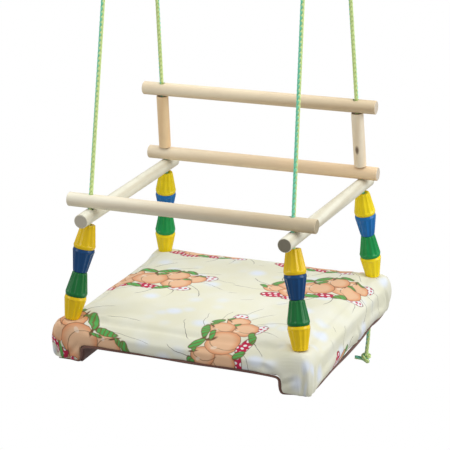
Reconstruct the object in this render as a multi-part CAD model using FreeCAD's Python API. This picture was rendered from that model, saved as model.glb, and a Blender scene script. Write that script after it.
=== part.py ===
import FreeCAD, Part
import math
import os

# Toddler swing: a padded board hung on four ropes, with a guard of round wooden
# rails that stands on four columns of plastic beads.  Millimetres, +Z up.
# The origin is the centre of the four hanging loops.  X runs from the child's
# right to left hand side rail, -Y is the front bar, +Y the back rest.

V = FreeCAD.Vector

# ---- driving dimensions -------------------------------------------------
SEAT_Z = -530.0            # plane in which the bead columns stand, below the loops
ROPE_D = 5.6
HOLE_D = 9.0               # every drilled rope hole
RAIL_D = 20.0              # round rails
RAIL_L = 366.0             # front bar and both back rails
SIDE_RAIL_L = 345.0
POST_D = 18.0
RAIL_END_CHAMFER = 0.8
GAP = 0.3                  # running gap between pieces that move

# Rope route above the seat: depth falls in a straight line to the hanging point.
ROPE_Y_SEAT = 165.3        # half depth between ropes at the seat
ROPE_APEX = 1048.0         # height above the seat at which the depth would be zero
ROPE_X_SEAT = 170.8        # half width between ropes at the seat
ROPE_X_FRONT = 150.0       # half width at the side rails, front ropes
ROPE_X_REAR = 157.0        # the same, rear ropes
ROPE_X_APEX = 131.8        # half width at the apex height

BEAD_COUNT = 4
BEAD_PITCH = 33.9          # vertical pitch of the beads in a column
BEAD_FOOT = 0.4            # height of the lowest bead's centre over the seat plane
BEAD_R_NARROW = 10.4
BEAD_R_WIDE = 15.7
BEAD_R_RIM = 15.0
BEAD_RIM_H = 4.6
BEAD_WALL = 2.0
BEAD_FLOOR = 3.0
BEAD_FLUTES = 12
BEAD_FLUTE_R = 6.0
BEAD_FLUTE_DEPTH = 0.6

SIDE_RAIL_H = 147.9        # axis heights over the seat plane
CROSS_RAIL_H = 168.2
TOP_RAIL_H = 271.6
SLIDE_OFFSET = 1.4         # holes of sliding rails sit this far inboard of the rope

SEAT_HALF_X = 190.0
SEAT_HALF_Y = 184.0
SEAT_TOP = -2.4            # heights relative to the seat plane
CLOTH = 1.2
FOAM = 20.0
PANEL = 5.0
BATTEN_H = 24.0
BATTEN_W = 38.8
HEM = 3.0
HEM_W = 5.5
SEAT_CORNER_R = 14.0
SEAT_EDGE_R = 12.0

SCREW_HEAD_R = 3.5
SCREW_SHANK_R = 1.75
SCREW_L = 24.0
SCREW_Y = (-120.0, 0.0, 120.0)
STAPLE_CROWN = 10.0
STAPLE_WIRE = 0.8
STAPLE_LEG = 5.0

KNOT_R = 8.0
KNOT_H = 14.0
TOP_KNOT_H = 18.0
LOOP_START = -42.0         # centre of the top knots, below the origin
TAIL_KNOT_R = 6.5
BEND_R = 60.0              # rope bends at the seat and at the side rails
TURN_R = 8.0               # rope turn round the mouth of the batten's hole
SINK = 5.0                 # countersink of the rope holes, below

FOAM_TOP = SEAT_TOP - CLOTH
PANEL_TOP = FOAM_TOP - FOAM
BATTEN_TOP = PANEL_TOP - PANEL
BATTEN_BOTTOM = BATTEN_TOP - BATTEN_H
LINING_BOTTOM = BATTEN_BOTTOM - CLOTH
BATTEN_OUT = SEAT_HALF_X - CLOTH
BATTEN_IN = BATTEN_OUT - BATTEN_W
RUN_H = LINING_BOTTOM - ROPE_D / 2 - 0.2
KNOT_CENTRE_H = LINING_BOTTOM - KNOT_H / 2 - 1.2

SIDES = (("left", -1.0), ("right", 1.0))
ENDS = (("front", -1.0), ("rear", 1.0))


# ---- rope route ---------------------------------------------------------
def rail_half_width(end):
    """Half width between the two ropes of one end, at the side rails."""
    return ROPE_X_FRONT if end < 0 else ROPE_X_REAR


def rope_point(side, end, height):
    """Point on the rope's centre line at a height over the seat plane."""
    at_rail = rail_half_width(end)
    if height <= SIDE_RAIL_H:
        half_x = ROPE_X_SEAT + (at_rail - ROPE_X_SEAT) * height / SIDE_RAIL_H
    else:
        rise = (height - SIDE_RAIL_H) / (ROPE_APEX - SIDE_RAIL_H)
        half_x = at_rail + (ROPE_X_APEX - at_rail) * rise
    half_y = ROPE_Y_SEAT * (1 - height / ROPE_APEX)
    return V(side * half_x, end * half_y, SEAT_Z + height)


def rope_direction(side, end, low, high):
    """Unit vector up the rope between two heights."""
    run = rope_point(side, end, high) - rope_point(side, end, low)
    return run.normalize()


def seat_point(side, end, height):
    """Point on the plumb rope hole through the seat."""
    return V(side * ROPE_X_SEAT, end * ROPE_Y_SEAT, SEAT_Z + height)


# ---- helpers ------------------------------------------------------------
def block(x0, x1, y0, y1, h0, h1):
    """Box between two heights over the seat plane."""
    return Part.makeBox(x1 - x0, y1 - y0, h1 - h0, V(x0, y0, SEAT_Z + h0))


def rod(start, end, radius):
    """Cylinder from one point to another."""
    run = end - start
    return Part.makeCylinder(radius, run.Length, start, run)


def hole(point, direction, length, radius=HOLE_D / 2):
    """Drill centred on a point."""
    step = V(direction) * (length / 2)
    return rod(point - step, point + step, radius)


def placed(shape, origin, direction):
    """Copy of a shape built on +Z, moved so that +Z points along a direction."""
    copy = shape.copy()
    copy.Placement = FreeCAD.Placement(origin, FreeCAD.Rotation(V(0, 0, 1), direction))
    return copy


def turn_radius(before, point, after):
    """Largest radius that the two runs at a route point allow."""
    run_in = point - before
    run_out = after - point
    half = run_in.getAngle(run_out) / 2
    return 0.45 * min(run_in.Length, run_out.Length) / math.tan(half)


def cord(name, route, radii, diameter=ROPE_D):
    """Tube along straight runs joined by tangent arcs; prints the radii used."""
    edges = []
    start = route[0]
    length = 0.0
    for before, point, after, radius in zip(route, route[1:], route[2:], radii):
        run_in = (point - before).normalize()
        run_out = (after - point).normalize()
        half = run_in.getAngle(run_out) / 2
        reach = radius * math.tan(half)
        enter = point - run_in * reach
        leave = point + run_out * reach
        bisector = (run_out - run_in).normalize()
        middle = point + bisector * (radius / math.cos(half) - radius)
        edges.append(Part.LineSegment(start, enter).toShape())
        edges.append(Part.Arc(enter, middle, leave).toShape())
        length += (enter - start).Length + 2 * half * radius
        start = leave
    edges.append(Part.LineSegment(start, route[-1]).toShape())
    length += (route[-1] - start).Length
    path = Part.Wire(edges)
    ring = Part.Wire(Part.makeCircle(diameter / 2, route[0], route[1] - route[0]))
    tube = path.makePipeShell([ring], True, False)
    ratio = tube.Volume / (length * math.pi * diameter ** 2 / 4)
    shown = " ".join(f"{radius:.1f}" for radius in radii)
    print(f"{name}: length {length:.1f} mm, radii {shown}, volume ratio {ratio:.4f}")
    return tube


def allowed_radii(route):
    """Radius of every inner point of a route, as large as its runs allow."""
    return [turn_radius(a, b, c) for a, b, c in zip(route, route[1:], route[2:])]


def barrel(centre, axis, radius, height):
    """Knot stand-in: a short cylinder with rounded ends."""
    body = Part.makeCylinder(radius, height, V(0, 0, -height / 2))
    body = body.makeFillet(radius * 0.55, body.Edges[0:1] + body.Edges[2:3])
    return placed(body, centre, axis)


def export(name, shape):
    """Write one node."""
    shape.exportStep(f"parts/{name}.step")


# ---- seat ---------------------------------------------------------------
def rope_drills():
    """The four rope holes through the seat, countersunk from below."""
    drills = []
    for _, side in SIDES:
        for _, end in ENDS:
            bore = rod(seat_point(side, end, RUN_H - 8), seat_point(side, end, 12.0), HOLE_D / 2)
            mouth = Part.makeCone(HOLE_D / 2 + SINK, HOLE_D / 2, SINK,
                                  seat_point(side, end, LINING_BOTTOM - 1.0))
            drills.append(bore.fuse(mouth))
    return drills


def screw_points():
    """Top centres of the panel screws."""
    x = (BATTEN_IN + BATTEN_OUT) / 2
    return [V(side * x, y, SEAT_Z + PANEL_TOP) for _, side in SIDES for y in SCREW_Y]


def screw():
    """Countersunk wood screw, head down along -Z from its top centre."""
    head = Part.makeCone(SCREW_SHANK_R, SCREW_HEAD_R, 2.2, V(0, 0, -2.2))
    shank = Part.makeCylinder(SCREW_SHANK_R, SCREW_L - 5.2, V(0, 0, 3.0 - SCREW_L))
    tip = Part.makeCone(0.2, SCREW_SHANK_R, 3.0, V(0, 0, -SCREW_L))
    return head.fuse([shank, tip]).removeSplitter()


def screws():
    """All panel screws as separate solids."""
    return Part.makeCompound([placed(screw(), p, V(0, 0, 1)) for p in screw_points()])


def rounded_slab(half_x, half_y, h0, h1, corner, edge):
    """Box with rounded upright corners and rounded top edges."""
    slab = block(-half_x, half_x, -half_y, half_y, h0, h1)
    upright = [e for e in slab.Edges if abs(e.tangentAt(e.FirstParameter).z) > 0.9]
    slab = slab.makeFillet(corner, upright)
    if edge:
        top = [e for e in slab.Edges if e.BoundBox.ZMin > SEAT_Z + h1 - 0.01]
        slab = slab.makeFillet(edge, top)
    return slab


def seat_body(inset):
    """Outer form of the upholstered seat, feet included, inset all round."""
    half_x = SEAT_HALF_X - inset
    half_y = SEAT_HALF_Y - inset
    corner = SEAT_CORNER_R - inset
    form = rounded_slab(half_x, half_y, BATTEN_BOTTOM, SEAT_TOP - inset, corner, SEAT_EDGE_R - inset)
    channel = block(-BATTEN_IN, BATTEN_IN, -300, 300, BATTEN_BOTTOM - 10, BATTEN_TOP)
    return form.cut(channel)


def fabric_cover(drills):
    """Cloth over the pad, down the sides and over the batten ends, open below."""
    core = seat_body(CLOTH)
    below = []
    for _, side in SIDES:
        low = min(side * (BATTEN_IN - 1), side * (BATTEN_OUT - 12.8))
        high = max(side * (BATTEN_IN - 1), side * (BATTEN_OUT - 12.8))
        below.append(block(low, high, -SEAT_HALF_Y + CLOTH, SEAT_HALF_Y - CLOTH,
                           BATTEN_BOTTOM - 1, BATTEN_TOP))
    return seat_body(0.0).cut([core] + below).cut(drills)


def foam_pad(drills):
    """Foam block under the cloth."""
    pad = rounded_slab(SEAT_HALF_X - CLOTH, SEAT_HALF_Y - CLOTH, PANEL_TOP, FOAM_TOP,
                       SEAT_CORNER_R - CLOTH, SEAT_EDGE_R - CLOTH)
    return pad.cut(drills)


def seat_panel(drills, fixings):
    """Plywood board that carries the foam."""
    board = rounded_slab(BATTEN_OUT, SEAT_HALF_Y - CLOTH, BATTEN_TOP, PANEL_TOP,
                         SEAT_CORNER_R - CLOTH, 0)
    return board.cut(drills).cut(fixings)


def batten(side, drills, fixings):
    """Wooden batten under one side edge, rounded at its two outer corners."""
    bar = rounded_slab(BATTEN_OUT, SEAT_HALF_Y - CLOTH, BATTEN_BOTTOM, BATTEN_TOP,
                       SEAT_CORNER_R - CLOTH, 0)
    low = min(side * BATTEN_IN, side * 300)
    high = max(side * BATTEN_IN, side * 300)
    bar = bar.common(block(low, high, -300, 300, BATTEN_BOTTOM, BATTEN_TOP))
    return bar.cut(drills).cut(fixings)


def underside_lining(drills):
    """Brown cloth below: under the panel, down the battens and beneath them."""
    skins = [block(-BATTEN_IN, BATTEN_IN, -SEAT_HALF_Y, SEAT_HALF_Y,
                   BATTEN_TOP - CLOTH, BATTEN_TOP)]
    for y0, y1 in ((-SEAT_HALF_Y, -SEAT_HALF_Y + HEM_W), (SEAT_HALF_Y - HEM_W, SEAT_HALF_Y)):
        skins.append(block(-BATTEN_IN, BATTEN_IN, y0, y1, BATTEN_TOP - HEM, BATTEN_TOP))
    for _, side in SIDES:
        wall = sorted((side * BATTEN_IN, side * (BATTEN_IN - CLOTH)))
        sole = sorted((side * (BATTEN_IN - CLOTH), side * SEAT_HALF_X))
        edge = sorted((side * (SEAT_HALF_X - HEM_W), side * SEAT_HALF_X))
        skins.append(block(*wall, -SEAT_HALF_Y, SEAT_HALF_Y, LINING_BOTTOM, BATTEN_TOP))
        skins.append(block(*sole, -SEAT_HALF_Y, SEAT_HALF_Y, LINING_BOTTOM, BATTEN_BOTTOM))
        skins.append(block(*edge, -SEAT_HALF_Y, SEAT_HALF_Y, BATTEN_BOTTOM - HEM, BATTEN_BOTTOM))
    lining = skins[0].fuse(skins[1:]).removeSplitter()
    outline = rounded_slab(SEAT_HALF_X, SEAT_HALF_Y, -90, 0, SEAT_CORNER_R, 0)
    return lining.common(outline).cut(drills)


def staple():
    """Wire staple driven upwards: crown along X with two legs."""
    half = STAPLE_CROWN / 2
    crown = Part.makeBox(STAPLE_CROWN, STAPLE_WIRE, STAPLE_WIRE,
                         V(-half, -STAPLE_WIRE / 2, -STAPLE_WIRE))
    legs = []
    for x in (-half, half - STAPLE_WIRE):
        legs.append(Part.makeBox(STAPLE_WIRE, STAPLE_WIRE, STAPLE_LEG, V(x, -STAPLE_WIRE / 2, 0)))
    return crown.fuse(legs).removeSplitter()


def staples():
    """Rows of staples under the battens and under the panel's two free edges."""
    rows = []
    for _, side in SIDES:
        for y in (-150, -105, -60, -15, 30, 75, 120, 155):
            rows.append((V(side * (BATTEN_OUT - 10), y, SEAT_Z + LINING_BOTTOM), V(0, 1, 0)))
    for y in (-SEAT_HALF_Y + 11, SEAT_HALF_Y - 11):
        for x in (-125, -75, -25, 25, 75, 125):
            rows.append((V(x, y, SEAT_Z + BATTEN_TOP - CLOTH), V(1, 0, 0)))
    solids = []
    for place, along in rows:
        wire = staple()
        wire.Placement = FreeCAD.Placement(place, FreeCAD.Rotation(V(1, 0, 0), along))
        solids.append(wire)
    return Part.makeCompound(solids)


# ---- rails and posts ----------------------------------------------------
def dowel(start, end, diameter=RAIL_D):
    """Round rail with lightly broken ends."""
    bar = rod(start, end, diameter / 2)
    return bar.makeChamfer(RAIL_END_CHAMFER, [bar.Edges[0], bar.Edges[2]])


def rope_lean(end):
    """Direction of the ropes of one end, seen from the side (no sideways part)."""
    return V(0, -end * ROPE_Y_SEAT / ROPE_APEX, 1).normalize()


def cross_rail(end, height, inboard):
    """Rail across the swing with two rope holes that lean with the ropes."""
    centre_y = rope_point(1, end, height).y
    z = SEAT_Z + height
    bar = dowel(V(-RAIL_L / 2, centre_y, z), V(RAIL_L / 2, centre_y, z))
    drills = []
    for _, side in SIDES:
        point = rope_point(side, end, height) - V(side * inboard, 0, 0)
        drills.append(hole(point, rope_lean(end), 3 * RAIL_D))
    return bar.cut(drills)


def side_rail(side):
    """Rail from front to back on top of two bead columns."""
    front = rope_point(side, -1, SIDE_RAIL_H)
    rear = rope_point(side, 1, SIDE_RAIL_H)
    along = (rear - front).normalize()
    middle = (front + rear) * 0.5
    bar = dowel(middle - along * (SIDE_RAIL_L / 2), middle + along * (SIDE_RAIL_L / 2))
    drills = []
    for _, end in ENDS:
        corner = rope_point(side, end, SIDE_RAIL_H)
        below = rope_direction(side, end, 0, SIDE_RAIL_H)
        above = rope_direction(side, end, SIDE_RAIL_H, TOP_RAIL_H)
        drills.append(hole(corner, (below + above).normalize(), 3 * RAIL_D))
    return bar.cut(drills)


def post(side):
    """Drilled post round the rear rope, between the two back rails."""
    low = rope_point(side, 1, CROSS_RAIL_H)
    high = rope_point(side, 1, TOP_RAIL_H)
    up = (high - low).normalize()
    stand_off = RAIL_D / 2 + GAP + 0.3
    body = dowel(low + up * stand_off, high - up * stand_off, POST_D)
    return body.cut(hole((low + high) * 0.5, up, 200))


# ---- beads --------------------------------------------------------------
def bead_shape(length):
    """Fluted plastic cup, narrow closed end at the origin, wide open end up."""
    cone_h = length - BEAD_RIM_H
    outer = Part.makeCone(BEAD_R_NARROW, BEAD_R_WIDE, cone_h)
    rim = Part.makeCone(BEAD_R_WIDE, BEAD_R_RIM, BEAD_RIM_H, V(0, 0, cone_h))
    slope = (BEAD_R_WIDE - BEAD_R_NARROW) / cone_h
    flutes = []
    for index in range(BEAD_FLUTES):
        angle = 2 * math.pi * index / BEAD_FLUTES
        out = V(math.cos(angle), math.sin(angle), 0)
        reach = BEAD_FLUTE_R - BEAD_FLUTE_DEPTH
        low = out * (BEAD_R_NARROW + reach - slope * 5) + V(0, 0, -5)
        high = out * (BEAD_R_NARROW + reach + slope * cone_h + 3.2) + V(0, 0, cone_h)
        flutes.append(rod(low, high, BEAD_FLUTE_R))
    inner = Part.makeCone(BEAD_R_NARROW - BEAD_WALL + slope * BEAD_FLOOR,
                          BEAD_R_RIM - BEAD_WALL + 0.4, length - BEAD_FLOOR + 1,
                          V(0, 0, BEAD_FLOOR))
    bore = Part.makeCylinder(HOLE_D / 2, 3 * length, V(0, 0, -length))
    return outer.fuse(rim).cut(flutes).cut([inner, bore])


def beads(side, end):
    """The four beads of one column, bottom first: narrow ends at foot and head."""
    up = rope_direction(side, end, 0, SIDE_RAIL_H)
    pitch = BEAD_PITCH / up.z
    shape = bead_shape(pitch - GAP)
    column = []
    for index in range(BEAD_COUNT):
        foot = rope_point(side, end, BEAD_FOOT + index * BEAD_PITCH) + up * (GAP / 2)
        if index % 2 == 0:
            column.append(placed(shape, foot, up))
        else:
            column.append(placed(shape, foot + up * (pitch - GAP), up * -1))
    return column


# ---- ropes --------------------------------------------------------------
def front_rope(side):
    """Front rope: under the batten, up through seat, beads, side rail and bar."""
    route = [
        seat_point(side, 1, RUN_H) - V(0, 4, 0),
        seat_point(side, -1, RUN_H),
        rope_point(side, -1, 0),
        rope_point(side, -1, SIDE_RAIL_H),
        rope_point(side, -1, LOOP_START - SEAT_Z),
    ]
    return cord("front rope", route, [TURN_R, BEND_R, BEND_R])


def rear_rope(side):
    """Rear rope: from the knot under the batten up to the rear hanging loop."""
    route = [
        seat_point(side, 1, KNOT_CENTRE_H),
        rope_point(side, 1, 0),
        rope_point(side, 1, SIDE_RAIL_H),
        rope_point(side, 1, LOOP_START - SEAT_Z),
    ]
    return cord("rear rope", route, [BEND_R, BEND_R])


def loop_base(side, end):
    """Centre of the knot below one hanging loop."""
    return rope_point(side, end, LOOP_START - SEAT_Z)


def hanging_loop(side, end):
    """Rope eye above the top knot, its opening seen from the front."""
    base = loop_base(side, end)
    up = rope_direction(side, end, SIDE_RAIL_H, TOP_RAIL_H)
    across = V(1, 0, 0)
    outline = ((-3.0, 4.0), (-10.5, 24.0), (-6.5, 44.0), (6.5, 44.0), (10.5, 24.0), (3.0, 4.0))
    route = [base + across * x + up * z for x, z in outline]
    return cord("hanging loop", route, allowed_radii(route))


def top_knot(side, end):
    """Knot that closes one hanging loop."""
    up = rope_direction(side, end, SIDE_RAIL_H, TOP_RAIL_H)
    return barrel(loop_base(side, end), up, KNOT_R, TOP_KNOT_H)


def seat_knot(side):
    """Knot of both ropes under the rear end of a batten."""
    return barrel(seat_point(side, 1, KNOT_CENTRE_H), V(0, 0, 1), KNOT_R, KNOT_H)


def tail_route(side):
    """Loose end that hangs from the seat knot down to its own end knot."""
    knot = seat_point(side, 1, KNOT_CENTRE_H)
    steps = ((-2.5, -2.5, -4.0), (-5.5, -5.5, -18.0), (-6.0, -7.0, -36.0), (-8.0, -8.0, -54.0),
             (-8.0, -9.0, -66.0))
    return [knot + V(side * x, y, z) for x, y, z in steps]


def rope_tail(side):
    """Loose rope end below the seat knot."""
    route = tail_route(side)
    return cord("rope tail", route, allowed_radii(route))


def tail_knot(side):
    """Overhand knot at the end of the tail, with its short cut end."""
    centre = tail_route(side)[-1]
    ball = barrel(centre, V(0, 0, 1), TAIL_KNOT_R, 11.0)
    end = rod(centre, centre + V(-side * 17, -2, -1), ROPE_D / 2)
    nub = rod(centre, centre + V(side * 1, 0, -9), ROPE_D / 2)
    return ball.fuse([end, nub])


# ---- output -------------------------------------------------------------
os.makedirs("parts", exist_ok=True)

seat_drills = rope_drills()
seat_fixings = screws()
export("fabric_cover", fabric_cover(seat_drills))
export("foam_pad", foam_pad(seat_drills))
export("seat_panel", seat_panel(seat_drills, seat_fixings))
export("underside_lining", underside_lining(seat_drills))
export("panel_screws", seat_fixings)
export("cover_staples", staples())
export("front_bar", cross_rail(-1, CROSS_RAIL_H, SLIDE_OFFSET))
export("back_lower_rail", cross_rail(1, CROSS_RAIL_H - 0.2, 0.0))
export("back_top_rail", cross_rail(1, TOP_RAIL_H, SLIDE_OFFSET))

for side_name, side_sign in SIDES:
    export(f"batten_{side_name}", batten(side_sign, seat_drills, seat_fixings))
    export(f"side_rail_{side_name}", side_rail(side_sign))
    export(f"back_post_{side_name}", post(side_sign))
    export(f"rope_front_{side_name}", front_rope(side_sign))
    export(f"rope_rear_{side_name}", rear_rope(side_sign))
    export(f"seat_knot_{side_name}", seat_knot(side_sign))
    export(f"rope_tail_{side_name}", rope_tail(side_sign))
    export(f"tail_knot_{side_name}", tail_knot(side_sign))
    for end_name, end_sign in ENDS:
        corner_name = f"{end_name}_{side_name}"
        export(f"hanging_loop_{corner_name}", hanging_loop(side_sign, end_sign))
        export(f"top_knot_{corner_name}", top_knot(side_sign, end_sign))
        for number, solid in enumerate(beads(side_sign, end_sign), start=1):
            export(f"bead_{corner_name}_{number}", solid)
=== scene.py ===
"""Toddler board swing: the finished look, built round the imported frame.

A padded, printed seat hangs on four braided ropes inside a guard of round
wooden rails that stands on four columns of fluted plastic beads.
"""

import logging
import math
from dataclasses import dataclass, field
from enum import Enum
from typing import Callable, Iterable, Optional, Sequence

import bmesh
import bpy
from mathutils import Matrix, Vector, noise


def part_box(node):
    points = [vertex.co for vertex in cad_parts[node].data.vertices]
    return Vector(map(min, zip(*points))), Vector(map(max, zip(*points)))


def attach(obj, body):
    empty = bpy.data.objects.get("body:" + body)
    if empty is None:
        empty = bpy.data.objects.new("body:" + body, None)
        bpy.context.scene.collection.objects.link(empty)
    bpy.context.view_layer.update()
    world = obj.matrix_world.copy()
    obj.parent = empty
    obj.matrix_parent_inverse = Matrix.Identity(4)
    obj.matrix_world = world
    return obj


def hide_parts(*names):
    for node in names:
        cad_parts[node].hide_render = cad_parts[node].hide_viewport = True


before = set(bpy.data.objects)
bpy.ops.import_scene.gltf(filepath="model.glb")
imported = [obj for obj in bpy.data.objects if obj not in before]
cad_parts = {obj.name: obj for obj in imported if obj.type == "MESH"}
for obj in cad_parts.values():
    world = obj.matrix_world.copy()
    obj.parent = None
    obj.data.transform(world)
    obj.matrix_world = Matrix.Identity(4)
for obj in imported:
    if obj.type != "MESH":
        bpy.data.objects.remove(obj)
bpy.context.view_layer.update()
LOG = logging.getLogger("swing")

MM = 0.001
SWING = "swing"
HANG = 0.530               # height of the hanging eyes over the seat plane
Point = tuple[float, float, float]


class Side(Enum):
    """Left or right half of the swing."""

    LEFT = -1.0
    RIGHT = 1.0

    @property
    def label(self) -> str:
        """Word used in node names."""
        return self.name.lower()


class End(Enum):
    """Front or rear end of the swing."""

    FRONT = -1.0
    REAR = 1.0

    @property
    def label(self) -> str:
        """Word used in node names."""
        return self.name.lower()


class Hue(Enum):
    """Linear colours of the bead plastics."""

    YELLOW = (0.95, 0.64, 0.004)
    GREEN = (0.004, 0.165, 0.034)
    BLUE = (0.003, 0.062, 0.20)

    @property
    def slot(self) -> str:
        """Material slot of the record."""
        return f"{self.name.lower()}_plastic"

    def batch(self, end: End) -> Point:
        """Colour of the cups at one end: painted light, with the rear cups a lighter copy and the front cups a darker
        copy of one plastic.
        """
        # Painted light: lighter copies of the same plastics for the rear cups.
        pale = {"YELLOW": (1.0, 0.78, 0.008), "GREEN": (0.006, 0.33, 0.078), "BLUE": (0.005, 0.17, 0.52)}
        return pale[self.name] if end is End.REAR else self.value


# ---------------------------------------------------------------- route
@dataclass(frozen=True)
class RopeRoute:
    """Where the four ropes run, in metres, as the frame has them.

    Attributes:
        seat_x: half width between the ropes at the seat.
        seat_y: half depth between the ropes at the seat.
        front_x: half width at the side rails, front ropes.
        rear_x: half width at the side rails, rear ropes.
        apex_x: half width at the apex height.
        apex: height over the seat plane at which the depth would be zero.
        rail: height of the side rails over the seat plane.
        run: height of the run under the battens.
    """

    seat_x: float = 0.1708
    seat_y: float = 0.1653
    front_x: float = 0.150
    rear_x: float = 0.157
    apex_x: float = 0.1318
    apex: float = 1.048
    rail: float = 0.1479
    run: float = -0.0568
    knot: float = -0.0620
    top: float = 0.488

    def point(self, side: Side, end: End, height: float) -> Vector:
        """Point on a rope's centre line.

        Args:
            side: left or right.
            end: front or rear.
            height: height over the seat plane.

        Returns:
            The point in the row frame.
        """
        at_rail = self.front_x if end is End.FRONT else self.rear_x
        if height <= self.rail:
            half_x = self.seat_x + (at_rail - self.seat_x) * height / self.rail
        else:
            rise = (height - self.rail) / (self.apex - self.rail)
            half_x = at_rail + (self.apex_x - at_rail) * rise
        half_y = self.seat_y * (1 - height / self.apex)
        return Vector((side.value * half_x, end.value * half_y, height - HANG))

    def plumb(self, side: Side, end: End, height: float) -> Vector:
        """Point on the upright part of the rope inside the seat."""
        return Vector((side.value * self.seat_x, end.value * self.seat_y, height - HANG))

    def up(self, side: Side, end: End, low: float, high: float) -> Vector:
        """Unit vector up the rope between two heights."""
        return (self.point(side, end, high) - self.point(side, end, low)).normalized()


ROUTE = RopeRoute()


# ---------------------------------------------------------------- mesh helpers
def new_object(name: str, mesh: bpy.types.Mesh) -> bpy.types.Object:
    """Link a new object for a mesh.

    Args:
        name: object name.
        mesh: its mesh.

    Returns:
        The new object.
    """
    obj = bpy.data.objects.new(name, mesh)
    bpy.context.scene.collection.objects.link(obj)
    return obj


def from_bmesh(name: str, bm: bmesh.types.BMesh, smooth: bool = True) -> bpy.types.Object:
    """Turn a bmesh into an object and free it.

    Args:
        name: object name.
        bm: the finished bmesh.
        smooth: shade the faces smooth.

    Returns:
        The new object.
    """
    for face in bm.faces:
        face.smooth = smooth
    mesh = bpy.data.meshes.new(name)
    bm.to_mesh(mesh)
    bm.free()
    return new_object(name, mesh)


def spline_points(name: str, route: Sequence[Vector]) -> list[Vector]:
    """Points along the smooth line that a rope's route stands for.

    Args:
        name: name of the helper curve.
        route: control points.

    Returns:
        Points along the quadratic spline.
    """
    curve = bpy.data.curves.new(name, "CURVE")
    curve.dimensions = "3D"
    curve.resolution_u = 24
    spline = curve.splines.new("NURBS")
    spline.points.add(len(route) - 1)
    for knot, point in zip(spline.points, route):
        knot.co = (*point, 1.0)
    spline.order_u = 3
    spline.use_endpoint_u = True
    helper = new_object(name, curve)
    bpy.context.view_layer.update()
    mesh = bpy.data.meshes.new_from_object(helper.evaluated_get(bpy.context.evaluated_depsgraph_get()))
    points = [v.co.copy() for v in mesh.vertices]
    bpy.data.objects.remove(helper)
    bpy.data.curves.remove(curve)
    bpy.data.meshes.remove(mesh)
    return points


def even_points(points: Sequence[Vector], step: float) -> list[Vector]:
    """Space a line's points evenly.

    Args:
        points: the line.
        step: wanted spacing in metres.

    Returns:
        Evenly spaced points from end to end.
    """
    lengths = [0.0]
    for a, b in zip(points, points[1:]):
        lengths.append(lengths[-1] + (b - a).length)
    count = max(2, round(lengths[-1] / step))
    spaced = []
    index = 0
    for number in range(count + 1):
        wanted = lengths[-1] * number / count
        while index < len(points) - 2 and lengths[index + 1] < wanted:
            index += 1
        span = lengths[index + 1] - lengths[index]
        share = 0.0 if span < 1e-9 else (wanted - lengths[index]) / span
        spaced.append(points[index].lerp(points[index + 1], min(1.0, max(0.0, share))))
    return spaced


def carried_frames(points: Sequence[Vector]) -> list[tuple[Vector, Vector, Vector]]:
    """Tangent and two normals at each point, turned as little as possible.

    Args:
        points: evenly spaced centre line.

    Returns:
        One (tangent, normal, binormal) triple for each point.
    """
    tangents = []
    for index in range(len(points)):
        before = points[max(0, index - 1)]
        after = points[min(len(points) - 1, index + 1)]
        tangents.append((after - before).normalized())
    seed = Vector((1, 0, 0)) if abs(tangents[0].x) < 0.8 else Vector((0, 1, 0))
    normal = (seed - tangents[0] * seed.dot(tangents[0])).normalized()
    frames = []
    for tangent in tangents:
        normal = (normal - tangent * normal.dot(tangent)).normalized()
        frames.append((tangent, normal, tangent.cross(normal)))
    return frames


def sweep(bm: bmesh.types.BMesh, centres: Sequence[Vector], sections: Sequence[Sequence[Vector]]) -> list:
    """Skin a closed tube through rings with bridged loops and capped ends.

    Args:
        bm: target bmesh.
        centres: centre of each ring; not used.
        sections: ring points for each centre.

    Returns:
        The faces made.
    """
    rings = [[bm.verts.new(p) for p in ring] for ring in sections]
    faces = []
    for low, high in zip(rings, rings[1:]):
        for index in range(len(low)):
            nxt = (index + 1) % len(low)
            faces.append(bm.faces.new((low[index], low[nxt], high[nxt], high[index])))
    faces.append(bm.faces.new(list(reversed(rings[0]))))
    faces.append(bm.faces.new(rings[-1]))
    return faces


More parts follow.
